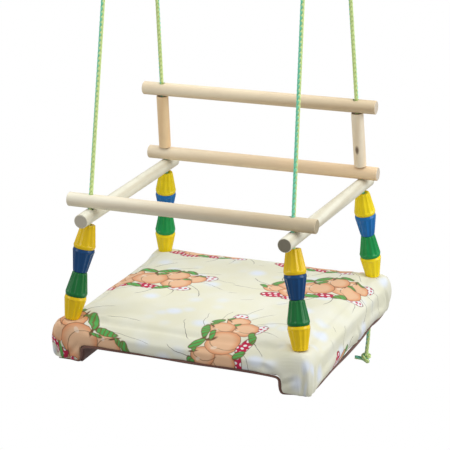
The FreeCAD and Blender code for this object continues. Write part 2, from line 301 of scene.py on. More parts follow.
# ---------------------------------------------------------------- node helpers
class Nodes:
    """Short way to place and join shader nodes in one tree."""

    def __init__(self, tree: bpy.types.NodeTree) -> None:
        """Keep the tree.

        Args:
            tree: material or group tree.
        """
        self.tree = tree

    def add(self, kind: str, inputs: Optional[dict] = None, **settings: object) -> bpy.types.Node:
        """Place one node.

        Args:
            kind: node type, without the ShaderNode prefix.
            inputs: values or output sockets for inputs, by name or number.
            settings: properties of the node.

        Returns:
            The node.
        """
        node = self.tree.nodes.new(f"ShaderNode{kind}")
        for key, value in settings.items():
            setattr(node, key, value)
        for key, value in (inputs or {}).items():
            self.feed(node, key, value)
        return node

    def feed(self, node: bpy.types.Node, key: object, value: object) -> None:
        """Set or link one input of a node."""
        socket = node.inputs[key]
        if isinstance(value, bpy.types.NodeSocket):
            self.tree.links.new(value, socket)
        else:
            socket.default_value = value

    def math(self, operation: str, a: object, b: object = 0.0, clamp: bool = False) -> bpy.types.NodeSocket:
        """Math node.

        Args:
            operation: name of the operation.
            a: first operand.
            b: second operand.
            clamp: clamp the result to 0..1.

        Returns:
            The result's socket.
        """
        node = self.add("Math", {0: a, 1: b}, operation=operation, use_clamp=clamp)
        return node.outputs[0]

    def mix(self, factor: object, a: object, b: object, blend: str = "MIX") -> bpy.types.NodeSocket:
        """Colour mix.

        Args:
            factor: share of the second colour.
            a: first colour.
            b: second colour.
            blend: blend type.

        Returns:
            The colour's socket.
        """
        node = self.add("Mix", data_type="RGBA", blend_type=blend)
        self.feed(node, 0, factor)
        self.feed(node, 6, a)
        self.feed(node, 7, b)
        return node.outputs[2]

    def ramp(self, value: object, low: float, high: float, to_low: float = 0.0,
             to_high: float = 1.0) -> bpy.types.NodeSocket:
        """Smooth step from one range to another.

        Args:
            value: input value.
            low: input where the result is to_low.
            high: input where the result is to_high.
            to_low: result at low.
            to_high: result at high.

        Returns:
            The result's socket.
        """
        node = self.add("MapRange", {0: value, 1: low, 2: high, 3: to_low, 4: to_high},
                        interpolation_type="SMOOTHSTEP")
        return node.outputs[0]

    def noise(self, vector: object, scale: float, detail: float = 2.0,
              rough: float = 0.5) -> bpy.types.NodeSocket:
        """Noise texture value at a scale in cycles per metre."""
        node = self.add("TexNoise", {"Vector": vector, "Scale": scale, "Detail": detail, "Roughness": rough})
        return node.outputs[0]


def rgba(colour: Iterable[float]) -> tuple[float, float, float, float]:
    """Add a full alpha to a colour."""
    red, green, blue = colour
    return (red, green, blue, 1.0)


def group(name: str, inputs: dict[str, object], outputs: dict[str, str],
          fill: Callable[[Nodes, bpy.types.Node, bpy.types.Node], None]) -> bpy.types.NodeTree:
    """Make one shader node group.

    Args:
        name: group name.
        inputs: default values by socket name; tuples of four are colours, None is a vector.
        outputs: socket types by name.
        fill: function that places the nodes.

    Returns:
        The group's tree.
    """
    tree = bpy.data.node_groups.new(name, "ShaderNodeTree")
    for label, value in inputs.items():
        kind = "NodeSocketVector" if value is None else "NodeSocketFloat"
        if isinstance(value, tuple):
            kind = "NodeSocketColor"
        socket = tree.interface.new_socket(label, in_out="INPUT", socket_type=kind)
        if value is not None:
            socket.default_value = value
    for label, kind in outputs.items():
        tree.interface.new_socket(label, in_out="OUTPUT", socket_type=kind)
    fill(Nodes(tree), tree.nodes.new("NodeGroupInput"), tree.nodes.new("NodeGroupOutput"))
    return tree


class Effects:
    """Shader effects that several finishes share, each built once."""

    def __init__(self) -> None:
        """Build the groups."""
        self.weave = group("plain_weave", {"Vector": None, "Threads per metre": 2200.0},
                           {"Height": "NodeSocketFloat", "Shade": "NodeSocketFloat"}, self._weave)
        self.grain = group("wood_grain", {"Vector": None, "Ring scale": 160.0, "Fleck": 0.5},
                           {"Tone": "NodeSocketFloat", "Height": "NodeSocketFloat"}, self._grain)
        self.dust = group("handled_wear", {"Vector": None, "Scale": 60.0, "Amount": 0.3},
                          {"Mask": "NodeSocketFloat"}, self._wear)
        self.disc = group("printed_disc", {"Vector": None, "X": 0.0, "Y": 0.0, "Width": 0.01,
                                           "Height": 0.01, "Turn": 0.0, "Line": 0.0007},
                          {"Fill": "NodeSocketFloat", "Outline": "NodeSocketFloat",
                           "Depth": "NodeSocketFloat"}, self._disc)

    @staticmethod
    def _weave(nodes: Nodes, given: bpy.types.Node, out: bpy.types.Node) -> None:
        """Over-and-under threads from two crossed waves."""
        turns = nodes.math("MULTIPLY", given.outputs[1], math.pi)
        scaled = nodes.add("VectorMath", {0: given.outputs[0], 3: turns}, operation="SCALE").outputs[0]
        axes = nodes.add("SeparateXYZ", {0: scaled}).outputs
        warp = nodes.math("SINE", axes[0])
        weft = nodes.math("SINE", axes[1])
        height = nodes.math("MULTIPLY_ADD", nodes.math("MULTIPLY", warp, weft), 0.5)
        nodes.feed(height.node, 2, 0.5)
        nodes.feed(out, 0, height)
        nodes.feed(out, 1, nodes.ramp(height, 0.0, 1.0, 0.93, 1.0))

    @staticmethod
    def _grain(nodes: Nodes, given: bpy.types.Node, out: bpy.types.Node) -> None:
        """Growth rings stretched along Z, broken by fine fibre."""
        stretched = nodes.add("Mapping", {0: given.outputs[0], 3: (1.0, 1.0, 0.035)}).outputs[0]
        warp = nodes.noise(stretched, 45.0, 3.0, 0.55)
        rings = nodes.add("TexWave", {"Vector": stretched, "Scale": given.outputs[1], "Distortion": 3.0,
                                      "Detail": 2.0, "Detail Scale": 0.6},
                          wave_type="BANDS", bands_direction="DIAGONAL").outputs[1]
        fibre = nodes.noise(stretched, 900.0, 3.0, 0.7)
        broad = nodes.math("MULTIPLY_ADD", rings, 0.45)
        nodes.feed(broad.node, 2, nodes.math("MULTIPLY", warp, 0.35))
        fine = nodes.math("MULTIPLY", nodes.math("SUBTRACT", fibre, 0.5), given.outputs[2])
        nodes.feed(out, 0, nodes.math("ADD", broad, fine, clamp=True))
        nodes.feed(out, 1, fibre)

    @staticmethod
    def _wear(nodes: Nodes, given: bpy.types.Node, out: bpy.types.Node) -> None:
        """Soft patches where hands and dust have been."""
        cloud = nodes.add("TexNoise", {"Vector": given.outputs[0], "Scale": given.outputs[1], "Detail": 4.0}).outputs[0]
        patch = nodes.ramp(cloud, 0.45, 0.75)
        nodes.feed(out, 0, nodes.math("MULTIPLY", patch, given.outputs[2]))

    @staticmethod
    def _disc(nodes: Nodes, given: bpy.types.Node, out: bpy.types.Node) -> None:
        """Ellipse of one ink with a thin outline."""
        centre = nodes.add("CombineXYZ", {0: given.outputs[1], 1: given.outputs[2]}).outputs[0]
        moved = nodes.add("VectorMath", {0: given.outputs[0], 1: centre}, operation="SUBTRACT").outputs[0]
        spun = nodes.add("VectorRotate", {0: moved, "Angle": given.outputs[5]}, rotation_type="Z_AXIS").outputs[0]
        axes = nodes.add("SeparateXYZ", {0: spun}).outputs
        across = nodes.math("DIVIDE", axes[0], given.outputs[3])
        along = nodes.math("DIVIDE", axes[1], given.outputs[4])
        flat = nodes.add("CombineXYZ", {0: across, 1: along}).outputs[0]
        reach = nodes.add("VectorMath", {0: flat}, operation="LENGTH").outputs[1]
        size = nodes.math("MINIMUM", given.outputs[3], given.outputs[4])
        edge = nodes.math("MULTIPLY", nodes.math("SUBTRACT", reach, 1.0), size)
        soft = nodes.math("MULTIPLY", given.outputs[6], 0.4)
        nodes.feed(out, 0, nodes.math("SUBTRACT", 1.0, nodes.math("DIVIDE", edge, soft), clamp=True))
        away = nodes.math("DIVIDE", nodes.math("ABSOLUTE", edge), given.outputs[6])
        nodes.feed(out, 1, nodes.math("SUBTRACT", 1.3, away, clamp=True))
        nodes.feed(out, 2, reach)


EFFECTS = Effects()


@dataclass(frozen=True)
class Finish:
    """Base of every finish: one material with a Principled shader."""

    name: str

    def material(self) -> bpy.types.Material:
        """Make the material, or return it if it is already made."""
        made = bpy.data.materials.get(self.name)
        if made:
            return made
        material = bpy.data.materials.new(self.name)
        material.use_nodes = True
        nodes = Nodes(material.node_tree)
        shader = material.node_tree.nodes["Principled BSDF"]
        self.fill(nodes, shader)
        return material

    def fill(self, nodes: Nodes, shader: bpy.types.Node) -> None:
        """Place the finish's own nodes."""
        raise NotImplementedError

    @staticmethod
    def object_coords(nodes: Nodes) -> bpy.types.NodeSocket:
        """Object coordinates in metres."""
        return nodes.add("TexCoord").outputs["Object"]

    @staticmethod
    def bump(nodes: Nodes, shader: bpy.types.Node, height: object, strength: float, depth: float) -> None:
        """Bump into the shader's normal."""
        node = nodes.add("Bump", {"Strength": strength, "Distance": depth, "Height": height})
        nodes.feed(shader, "Normal", node.outputs[0])

    def dress(self, obj: bpy.types.Object) -> bpy.types.Object:
        """Put the finish on an object and return it."""
        obj.data.materials.clear()
        obj.data.materials.append(self.material())
        return obj

    def dress_node(self, node: str) -> None:
        """Put the finish on a frame node's own material slots."""
        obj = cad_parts[node]
        for slot in obj.material_slots:
            slot.material = self.material()


@dataclass(frozen=True)
class WoodFinish(Finish):
    """Sanded, unvarnished wood with end grain.

    Attributes:
        grain: direction of the grain.
        pale: colour of the early wood.
        dark: colour of the late wood.
        end: colour of the sawn ends.
        knot: place of a small dark knot, if it has one.
        far_end_share: share of each colour left towards the piece's far end along the grain, so it grows darker along
            its length.
    """

    grain: Point = (0.0, 0.0, 1.0)
    pale: Point = (0.80, 0.68, 0.50)
    dark: Point = (0.62, 0.46, 0.29)
    end: Point = (0.45, 0.34, 0.23)
    knot: Optional[Point] = None
    far_end_share: Point = (1.0, 1.0, 1.0)

    def fill(self, nodes: Nodes, shader: bpy.types.Node) -> None:
        """Grain along the piece, rings and saw marks on its ends."""
        coords = nodes.add("TexCoord")
        turn = Vector(self.grain).rotation_difference(Vector((0, 0, 1))).to_euler()
        lined = nodes.add("VectorRotate", {0: coords.outputs["Object"], "Rotation": tuple(turn)},
                          rotation_type="EULER_XYZ").outputs[0]
        grain = nodes.add("Group", {0: lined, 1: 34.0, 2: 0.5}, node_tree=EFFECTS.grain)
        body = nodes.mix(nodes.ramp(grain.outputs[0], 0.15, 0.85), rgba(self.pale), rgba(self.dark))
        # Darker towards the far end along the grain.
        run = nodes.add("VectorMath", {0: coords.outputs["Object"], 1: self.grain}, operation="DOT_PRODUCT").outputs[1]
        tint = nodes.mix(nodes.ramp(run, -0.17, 0.17), rgba((1.0, 1.0, 1.0)), rgba(self.far_end_share))
        body = nodes.mix(1.0, body, tint, "MULTIPLY")
        wear = nodes.add("Group", {0: lined, 1: 25.0, 2: 0.25}, node_tree=EFFECTS.dust)
        body = nodes.mix(wear.outputs[0], body, rgba(tuple(c * 0.86 for c in self.dark)))
        facing = nodes.add("VectorMath", {0: coords.outputs["Normal"], 1: self.grain},
                           operation="DOT_PRODUCT").outputs[1]
        sawn = nodes.ramp(nodes.math("ABSOLUTE", facing), 0.80, 0.92)
        marks = nodes.add("TexWave", {"Vector": lined, "Scale": 260.0, "Distortion": 6.0},
                          wave_type="BANDS", bands_direction="DIAGONAL").outputs[1]
        ends = nodes.mix(nodes.math("MULTIPLY", marks, 0.6), rgba(self.end),
                         rgba(tuple(c * 0.55 for c in self.end)))
        if self.knot is not None:
            away = nodes.add("VectorMath", {0: coords.outputs["Object"], 1: self.knot},
                             operation="SUBTRACT").outputs[0]
            flat = nodes.add("Mapping", {0: away, 3: (1.0, 1.0, 0.42)}).outputs[0]
            reach = nodes.add("VectorMath", {0: flat}, operation="LENGTH").outputs[1]
            body = nodes.mix(nodes.ramp(reach, 0.0040, 0.0012, 0.0, 0.85), body, rgba((0.10, 0.055, 0.03)))
        nodes.feed(shader, "Base Color", nodes.mix(sawn, body, ends))
        nodes.feed(shader, "Roughness", nodes.ramp(grain.outputs[1], 0.2, 0.8, 0.55, 0.72))
        shader.inputs["Specular IOR Level"].default_value = 0.35
        self.bump(nodes, shader, grain.outputs[1], 0.25, 0.0003)


@dataclass(frozen=True)
class PlasticFinish(Finish):
    """Glossy moulded plastic with faint flow marks."""

    hue: Hue = Hue.YELLOW
    # end picks the painted light copy: lighter for the rear cups, darker for the front ones.
    end: End = End.FRONT

    def fill(self, nodes: Nodes, shader: bpy.types.Node) -> None:
        """Colour that shifts a little, painted lighter on the rear cups, fine scuffs and a soft coat."""
        coords = self.object_coords(nodes)
        cloud = nodes.noise(coords, 30.0, 2.0)
        # Painted light: the rear cups take a lighter copy of the colour.
        colour = self.hue.batch(self.end)
        deep = tuple(c * 0.86 for c in colour)
        nodes.feed(shader, "Base Color", nodes.mix(nodes.ramp(cloud, 0.35, 0.7), rgba(colour), rgba(deep)))
        scuff = nodes.add("Group", {0: coords, 1: 300.0, 2: 0.10}, node_tree=EFFECTS.dust).outputs[0]
        nodes.feed(shader, "Roughness", nodes.math("ADD", scuff, 0.17))
        self.bump(nodes, shader, nodes.noise(coords, 140.0, 1.0), 0.10, 0.0003)
        shader.inputs["Specular IOR Level"].default_value = 0.36


@dataclass(frozen=True)
class RopeFinish(Finish):
    """Braided polypropylene, one colour each side, carried on an attribute."""

    mint: Point = (0.19, 0.86, 0.56)
    lime: Point = (0.77, 0.93, 0.34)

    def fill(self, nodes: Nodes, shader: bpy.types.Node) -> None:
        """Two colours from the strands, painted shade in the gaps, fine fibres."""
        tint = nodes.add("Attribute", attribute_name="side").outputs["Fac"]
        gap = nodes.add("Attribute", attribute_name="gap").outputs["Fac"]
        colour = nodes.mix(nodes.ramp(tint, 0.40, 0.60), rgba(self.mint), rgba(self.lime))
        fibre = nodes.noise(nodes.add("Attribute", attribute_name="lay").outputs["Vector"], 1.0, 2.0)
        colour = nodes.mix(nodes.ramp(fibre, 0.35, 0.8, 0.0, 0.35), colour, rgba((0.75, 0.85, 0.70)))
        # Painted shade: darker copies of both colours, laid into the gaps between strands.
        shade = nodes.mix(nodes.ramp(tint, 0.35, 0.65), rgba((0.03, 0.36, 0.22)), rgba((0.33, 0.58, 0.10)))
        colour = nodes.mix(nodes.ramp(gap, 0.05, 0.85), colour, shade)
        nodes.feed(shader, "Base Color", colour)
        nodes.feed(shader, "Roughness", nodes.ramp(fibre, 0.3, 0.8, 0.38, 0.6))
        shader.inputs["Sheen Weight"].default_value = 0.15
        self.bump(nodes, shader, fibre, 0.35, 0.0002)


@dataclass(frozen=True)
class LiningFinish(Finish):
    """Plain reddish-brown cloth."""

    colour: Point = (0.135, 0.052, 0.038)

    def fill(self, nodes: Nodes, shader: bpy.types.Node) -> None:
        """Weave, soft fading and a matt surface."""
        coords = self.object_coords(nodes)
        weave = nodes.add("Group", {0: coords, 1: 1500.0}, node_tree=EFFECTS.weave)
        cloud = nodes.noise(coords, 22.0, 3.0)
        faded = nodes.mix(nodes.ramp(cloud, 0.35, 0.75), rgba(self.colour), rgba((0.20, 0.095, 0.07)))
        nodes.feed(shader, "Base Color", nodes.mix(1.0, faded, weave.outputs[1], "MULTIPLY"))
        nodes.feed(shader, "Roughness", nodes.ramp(cloud, 0.3, 0.8, 0.75, 0.9))
        shader.inputs["Sheen Weight"].default_value = 0.25
        self.bump(nodes, shader, weave.outputs[0], 0.4, 0.0003)


@dataclass(frozen=True)
class SteelFinish(Finish):
    """Zinc-plated wire and screws."""

    def fill(self, nodes: Nodes, shader: bpy.types.Node) -> None:
        """Bright metal with dull patches."""
        coords = self.object_coords(nodes)
        dull = nodes.add("Group", {0: coords, 1: 300.0, 2: 0.5}, node_tree=EFFECTS.dust).outputs[0]
        nodes.feed(shader, "Base Color", nodes.mix(dull, rgba((0.66, 0.66, 0.67)), rgba((0.42, 0.41, 0.39))))
        nodes.feed(shader, "Roughness", nodes.math("ADD", dull, 0.28))
        shader.inputs["Metallic"].default_value = 1.0


@dataclass(frozen=True)
class FoamFinish(Finish):
    """Open-cell upholstery foam."""

    def fill(self, nodes: Nodes, shader: bpy.types.Node) -> None:
        """Cells as bump and a mottled cream."""
        coords = self.object_coords(nodes)
        cells = nodes.add("TexVoronoi", {"Vector": coords, "Scale": 900.0}).outputs[0]
        cloud = nodes.noise(coords, 30.0, 3.0)
        nodes.feed(shader, "Base Color", nodes.mix(cloud, rgba((0.88, 0.80, 0.56)), rgba((0.78, 0.68, 0.42))))
        nodes.feed(shader, "Roughness", nodes.ramp(cloud, 0.2, 0.8, 0.85, 0.95))
        self.bump(nodes, shader, cells, 0.6, 0.0006)


@dataclass(frozen=True)
class Motif:
    """One printed disc of the cloth's pattern, in millimetres in its bunch.

    Attributes:
        x: centre across the bunch.
        y: centre up the bunch.
        wide: half width.
        tall: half height.
        ink: name of the ink.
        turn: turn in degrees.
    """

    x: float
    y: float
    wide: float
    tall: float
    ink: str
    turn: float = 0.0


@dataclass(frozen=True)
class Bunch:
    """Where one bunch of fruit is printed on the cloth.

    Attributes:
        x: centre across the cloth, millimetres.
        y: centre up the cloth, millimetres.
        turn: turn in degrees.
        size: scale.
    """

    x: float
    y: float
    turn: float = 0.0
    size: float = 1.0


@dataclass(frozen=True)
class PrintFinish(Finish):
    """Printed cotton: cream ground, pale cloud spots, bunches of fruit and ribbon."""

    bunches: tuple[Bunch, ...] = (
        Bunch(-127, 15, 6, 1.1), Bunch(120, 60, 28, 1.05), Bunch(-148, -206, -38, 1.15),
        Bunch(60, -170, 80, 1.0), Bunch(-84, 166, 8, 0.85), Bunch(92, 164, 4, 0.85),
        Bunch(308, -52, 0, 1.0), Bunch(-262, -60, 84, 0.9), Bunch(-20, 330, 0, 1.0))

    def inks(self) -> dict[str, Point]:
        """Colours of the print."""
        return {
            "peach": (0.82, 0.52, 0.32),
            "green": (0.10, 0.43, 0.10),
            "rose": (0.55, 0.018, 0.075),
            "white": (0.84, 0.83, 0.84),
            "brown": (0.17, 0.08, 0.04),
        }

    def motifs(self) -> list[Motif]:
        """The discs of one bunch, laid down in order."""
        ribbons = [Motif(-68, -20, 17, 10, "rose", 20), Motif(-38, -32, 20, 9, "rose", -8),
                   Motif(72, 15, 16, 11, "white", -24), Motif(46, -30, 18, 9, "white", 10)]
        bodies = [self.fruit(*spot) for spot in ((-60, 8, 17), (57, 9, 17), (-38, -12, 20), (38, -12, 21),
                                                 (-34, 17, 19), (28, 18, 20), (-2, 0, 25))]
        knots = [Motif(3, -31, 17, 8, "rose", 12), Motif(-16, -31, 12, 6, "green", 24),
                 Motif(24, -33, 12, 5, "green", -30), Motif(-14, 34, 15, 6, "green", 24),
                 Motif(14, 35, 15, 6, "green", -20), Motif(-52, 31, 11, 5, "green", -34),
                 Motif(48, 35, 10, 5, "green", 30), Motif(-74, 20, 8, 4, "green", 70)]
        return ribbons + [disc for discs in bodies for disc in discs] + knots

    @staticmethod
    def fruit(x: float, y: float, size: float) -> list[Motif]:
        """One apricot: round body, its crease, a shine and a short stalk with a leaf.

        Args:
            x: centre across the bunch.
            y: centre up the bunch.
            size: half width.

        Returns:
            Its discs in order.
        """
        lean = 20.0 if x < 0 else -20.0
        return [
            Motif(x, y, size, size * 0.93, "peach", lean),
            Motif(x + size * 0.55, y - size * 0.10, size, size * 0.98, "crease", lean),
            Motif(x - size * 0.45, y + size * 0.30, size * 0.20, size * 0.13, "shine", 35.0),
            Motif(x + size * 0.10, y + size * 0.84, size * 0.30, size * 0.07, "stalk", lean * 3.0),
            Motif(x + size * 0.42, y + size * 0.86, size * 0.36, size * 0.15, "green", -lean),
        ]

    def fill(self, nodes: Nodes, shader: bpy.types.Node) -> None:
        """Lay the inks over the ground, then weave the cloth."""
        cloth = nodes.add("UVMap", uv_map="cloth").outputs[0]
        drawn = nodes.noise(cloth, 60.0, 2.0)
        drawn = nodes.math("MULTIPLY", nodes.math("SUBTRACT", drawn, 0.5), 0.006)
        wobbled = nodes.add("VectorMath", {0: cloth, 1: drawn}, operation="ADD").outputs[0]
        bunch = self.nearest(nodes, wobbled)
        colour = self.strands(nodes, bunch, self.ground(nodes, cloth))
        inks = self.inks()
        inside: object = 0.0
        for motif in self.motifs():
            disc = nodes.add("Group", {0: bunch, 1: motif.x * MM, 2: motif.y * MM, 3: motif.wide * MM,
                                       4: motif.tall * MM, 5: math.radians(motif.turn)},
                             node_tree=EFFECTS.disc)
            line = nodes.math("MULTIPLY", disc.outputs[1], 0.7)
            if motif.ink == "crease":
                line = nodes.math("MULTIPLY", line, inside)
            elif motif.ink == "shine":
                colour = nodes.mix(nodes.math("MULTIPLY", disc.outputs[0], 0.55), colour, rgba((0.90, 0.76, 0.62)))
                continue
            else:
                inside = disc.outputs[0]
                ink = self.ink(nodes, bunch, inks, motif.ink, disc.outputs[2])
                colour = nodes.mix(inside, colour, ink)
            colour = nodes.mix(line, colour, rgba(inks["brown"]))
        weave = nodes.add("Group", {0: cloth, 1: 1700.0}, node_tree=EFFECTS.weave)
        nodes.feed(shader, "Base Color", nodes.mix(1.0, colour, weave.outputs[1], "MULTIPLY"))
        cloud = nodes.noise(cloth, 35.0, 3.0)
        nodes.feed(shader, "Roughness", nodes.ramp(cloud, 0.2, 0.8, 0.72, 0.86))
        shader.inputs["Specular IOR Level"].default_value = 0.25
        shader.inputs["Sheen Weight"].default_value = 0.06
        self.bump(nodes, shader, weave.outputs[0], 0.25, 0.0002)

    def nearest(self, nodes: Nodes, cloth: bpy.types.NodeSocket) -> bpy.types.NodeSocket:
        """Coordinates about the nearest bunch, in its own turn and scale."""
        best: Optional[bpy.types.NodeSocket] = None
        near: Optional[bpy.types.NodeSocket] = None
        for bunch in self.bunches:
            centre = (bunch.x * MM, bunch.y * MM, 0.0)
            away = nodes.add("VectorMath", {0: cloth, 1: centre}, operation="SUBTRACT").outputs[0]
            far = nodes.add("VectorMath", {0: away}, operation="LENGTH").outputs[1]
            spun = nodes.add("VectorRotate", {0: away, "Angle": -math.radians(bunch.turn)},
                             rotation_type="Z_AXIS").outputs[0]
            own = nodes.add("VectorMath", {0: spun, 3: 1.0 / bunch.size}, operation="SCALE").outputs[0]
            if best is None or near is None:
                best, near = own, far
                continue
            closer = nodes.math("LESS_THAN", far, near)
            pick = nodes.add("Mix", data_type="VECTOR")
            nodes.feed(pick, 0, closer)
            nodes.feed(pick, 4, best)
            nodes.feed(pick, 5, own)
            best = pick.outputs[1]
            near = nodes.math("MINIMUM", far, near)
        return best

    def ink(self, nodes: Nodes, bunch: bpy.types.NodeSocket, inks: dict[str, Point], name: str,
            depth: bpy.types.NodeSocket) -> object:
        """Ink of one disc: dotted ribbon, veined leaf or shaded fruit."""
        if name in ("rose", "white"):
            return self.dotted(nodes, bunch, inks[name], name == "rose")
        if name == "green":
            vein = nodes.add("TexWave", {"Vector": bunch, "Scale": 75.0}, bands_direction="DIAGONAL").outputs[1]
            return nodes.mix(nodes.ramp(vein, 0.62, 0.8, 0.0, 0.75), rgba(inks[name]), rgba((0.20, 0.12, 0.04)))
        if name == "stalk":
            return rgba(inks["brown"])
        deep = tuple(c * share for c, share in zip(inks[name], (0.90, 0.60, 0.46)))
        return nodes.mix(nodes.ramp(depth, 0.55, 1.05), rgba(inks[name]), rgba(deep))

    def ground(self, nodes: Nodes, cloth: bpy.types.NodeSocket) -> bpy.types.NodeSocket:
        """Cream ground with blurred pale blue spots."""
        cloud = nodes.noise(cloth, 18.0, 2.0)
        base = nodes.mix(nodes.ramp(cloud, 0.35, 0.7), rgba((0.80, 0.79, 0.62)), rgba((0.82, 0.82, 0.70)))
        spots = nodes.add("TexVoronoi", {"Vector": cloth, "Scale": 24.0, "Randomness": 0.8}).outputs[0]
        return nodes.mix(nodes.ramp(spots, 0.44, 0.10, 0.0, 0.9), base, rgba((0.79, 0.85, 0.95)))

    @staticmethod
    def strands(nodes: Nodes, bunch: bpy.types.NodeSocket, base: bpy.types.NodeSocket) -> bpy.types.NodeSocket:
        """Thin grey stems that curl out from each bunch."""
        flat = nodes.add("Mapping", {0: bunch, 3: (0.8, 1.3, 1.0)}).outputs[0]
        axes = nodes.add("SeparateXYZ", {0: flat}).outputs
        reach = nodes.add("VectorMath", {0: flat}, operation="LENGTH").outputs[1]
        angle = nodes.math("ARCTAN2", axes[1], axes[0])
        bend = nodes.math("ADD", nodes.math("MULTIPLY", angle, 7.0), nodes.math("MULTIPLY", reach, 60.0))
        line = nodes.math("MULTIPLY", nodes.math("ABSOLUTE", nodes.math("SINE", bend)), reach)
        thin = nodes.ramp(line, 0.0044, 0.0024)
        inner = nodes.ramp(reach, 0.046, 0.052)
        outer = nodes.ramp(nodes.math("ADD", reach, nodes.math("MULTIPLY", nodes.noise(bunch, 26.0, 1.0), 0.05)),
                           0.128, 0.120)
        some = nodes.ramp(nodes.noise(bunch, 17.0, 0.0), 0.41, 0.46)
        shown = nodes.math("MULTIPLY", nodes.math("MULTIPLY", thin, inner), nodes.math("MULTIPLY", outer, some))
        return nodes.mix(nodes.math("MULTIPLY", shown, 0.85), base, rgba((0.16, 0.14, 0.11)))

    @staticmethod
    def dotted(nodes: Nodes, bunch: bpy.types.NodeSocket, ink: Point, pale_dots: bool) -> bpy.types.NodeSocket:
        """Ribbon ink with polka dots."""
        dots = nodes.add("TexVoronoi", {"Vector": bunch, "Scale": 125.0, "Randomness": 0.2}).outputs[0]
        mask = nodes.ramp(dots, 0.36, 0.28)
        other = (0.90, 0.86, 0.86) if pale_dots else (0.55, 0.02, 0.10)
        return nodes.mix(mask, rgba(ink), rgba(other))


# ---------------------------------------------------------------- stage
@dataclass
class Stage:
    """Camera, lights and floor.

    Attributes:
        azimuth: camera turn from the front, degrees.
        elevation: camera height angle, degrees.
        distance: from the target, metres.
        lens: focal length, millimetres on a 36 mm sensor.
    """

    azimuth: float = 21.66
    elevation: float = 17.30
    roll: float = -0.17
    distance: float = 2.550
    lens: float = 142.11
    aim: Point = (0.0, 0.0, -0.380)
    slide: tuple[float, float] = (-0.0031, -0.0384)
    floor: float = -1.05
    floor_glow: float = 0.37
    surround: float = 0.50

    def build(self) -> None:
        """Place the camera, the floor and the lights."""
        self.place_camera()
        self.place_floor()
        self.place_lights()

    def place_camera(self) -> None:
        """Camera looking along its own back vector at the aim."""
        az = math.radians(self.azimuth)
        el = math.radians(self.elevation)
        turn = Matrix.Rotation(az, 3, "Z") @ Matrix.Rotation(math.pi / 2 - el, 3, "X")
        turn = turn @ Matrix.Rotation(math.radians(self.roll), 3, "Z")
        data = bpy.data.cameras.new("camera")
        data.lens = self.lens
        data.sensor_width = 36.0
        data.clip_end = 50.0
        camera = bpy.data.objects.new("camera", data)
        bpy.context.scene.collection.objects.link(camera)
        place = Vector(self.aim) + turn @ Vector((*self.slide, self.distance))
        camera.matrix_world = Matrix.Translation(place) @ turn.to_4x4()
        bpy.context.scene.camera = camera

    def place_floor(self) -> None:
        """Plain pale floor well below the hanging seat."""
        bm = bmesh.new()
        bmesh.ops.create_grid(bm, x_segments=4, y_segments=4, size=20.0)
        bmesh.ops.translate(bm, verts=bm.verts, vec=(0, 0, self.floor))
        floor = from_bmesh("floor", bm)
        material = bpy.data.materials.new("floor_paint")
        material.use_nodes = True
        nodes = Nodes(material.node_tree)
        shader = material.node_tree.nodes["Principled BSDF"]
        shader.inputs["Base Color"].default_value = (0.0, 0.0, 0.0, 1.0)
        shader.inputs["Roughness"].default_value = 1.0
        shader.inputs["Specular IOR Level"].default_value = 0.0
        shader.inputs["Emission Color"].default_value = (1.0, 1.0, 1.0, 1.0)
        seen = nodes.add("LightPath").outputs["Is Camera Ray"]
        nodes.feed(shader, "Emission Strength", nodes.ramp(seen, 0.0, 1.0, self.floor_glow, 1.0))
        floor.data.materials.append(material)

    def place_lights(self) -> None:
        """Broad soft light from above and both sides, darker in front."""
        self.area("above", (0.1, 0.2, 1.6), 1.8, 26.0)
        self.area("right", (2.2, 0.1, 0.4), 1.6, 27.0)
        self.area("left", (-1.9, -1.4, 0.7), 1.4, 12.5)
        world = bpy.data.worlds.new("surround")
        bpy.context.scene.world = world
        world.use_nodes = True
        nodes = Nodes(world.node_tree)
        back = world.node_tree.nodes["Background"]
        back.inputs["Color"].default_value = (1.0, 1.0, 1.0, 1.0)
        seen = nodes.add("LightPath").outputs["Is Camera Ray"]
        nodes.feed(back, "Strength", nodes.ramp(seen, 0.0, 1.0, self.surround, 1.0))
        bpy.context.scene.view_settings.view_transform = "Standard"

    def area(self, name: str, place: Point, size: float, power: float) -> None:
        """One square soft light aimed at the seat."""
        data = bpy.data.lights.new(name, "AREA")
        data.size = size
        data.energy = power
        light = bpy.data.objects.new(name, data)
        bpy.context.scene.collection.objects.link(light)
        look = (Vector((0, 0, -0.4)) - Vector(place)).to_track_quat("-Z", "Y")
        light.matrix_world = Matrix.Translation(place) @ look.to_matrix().to_4x4()


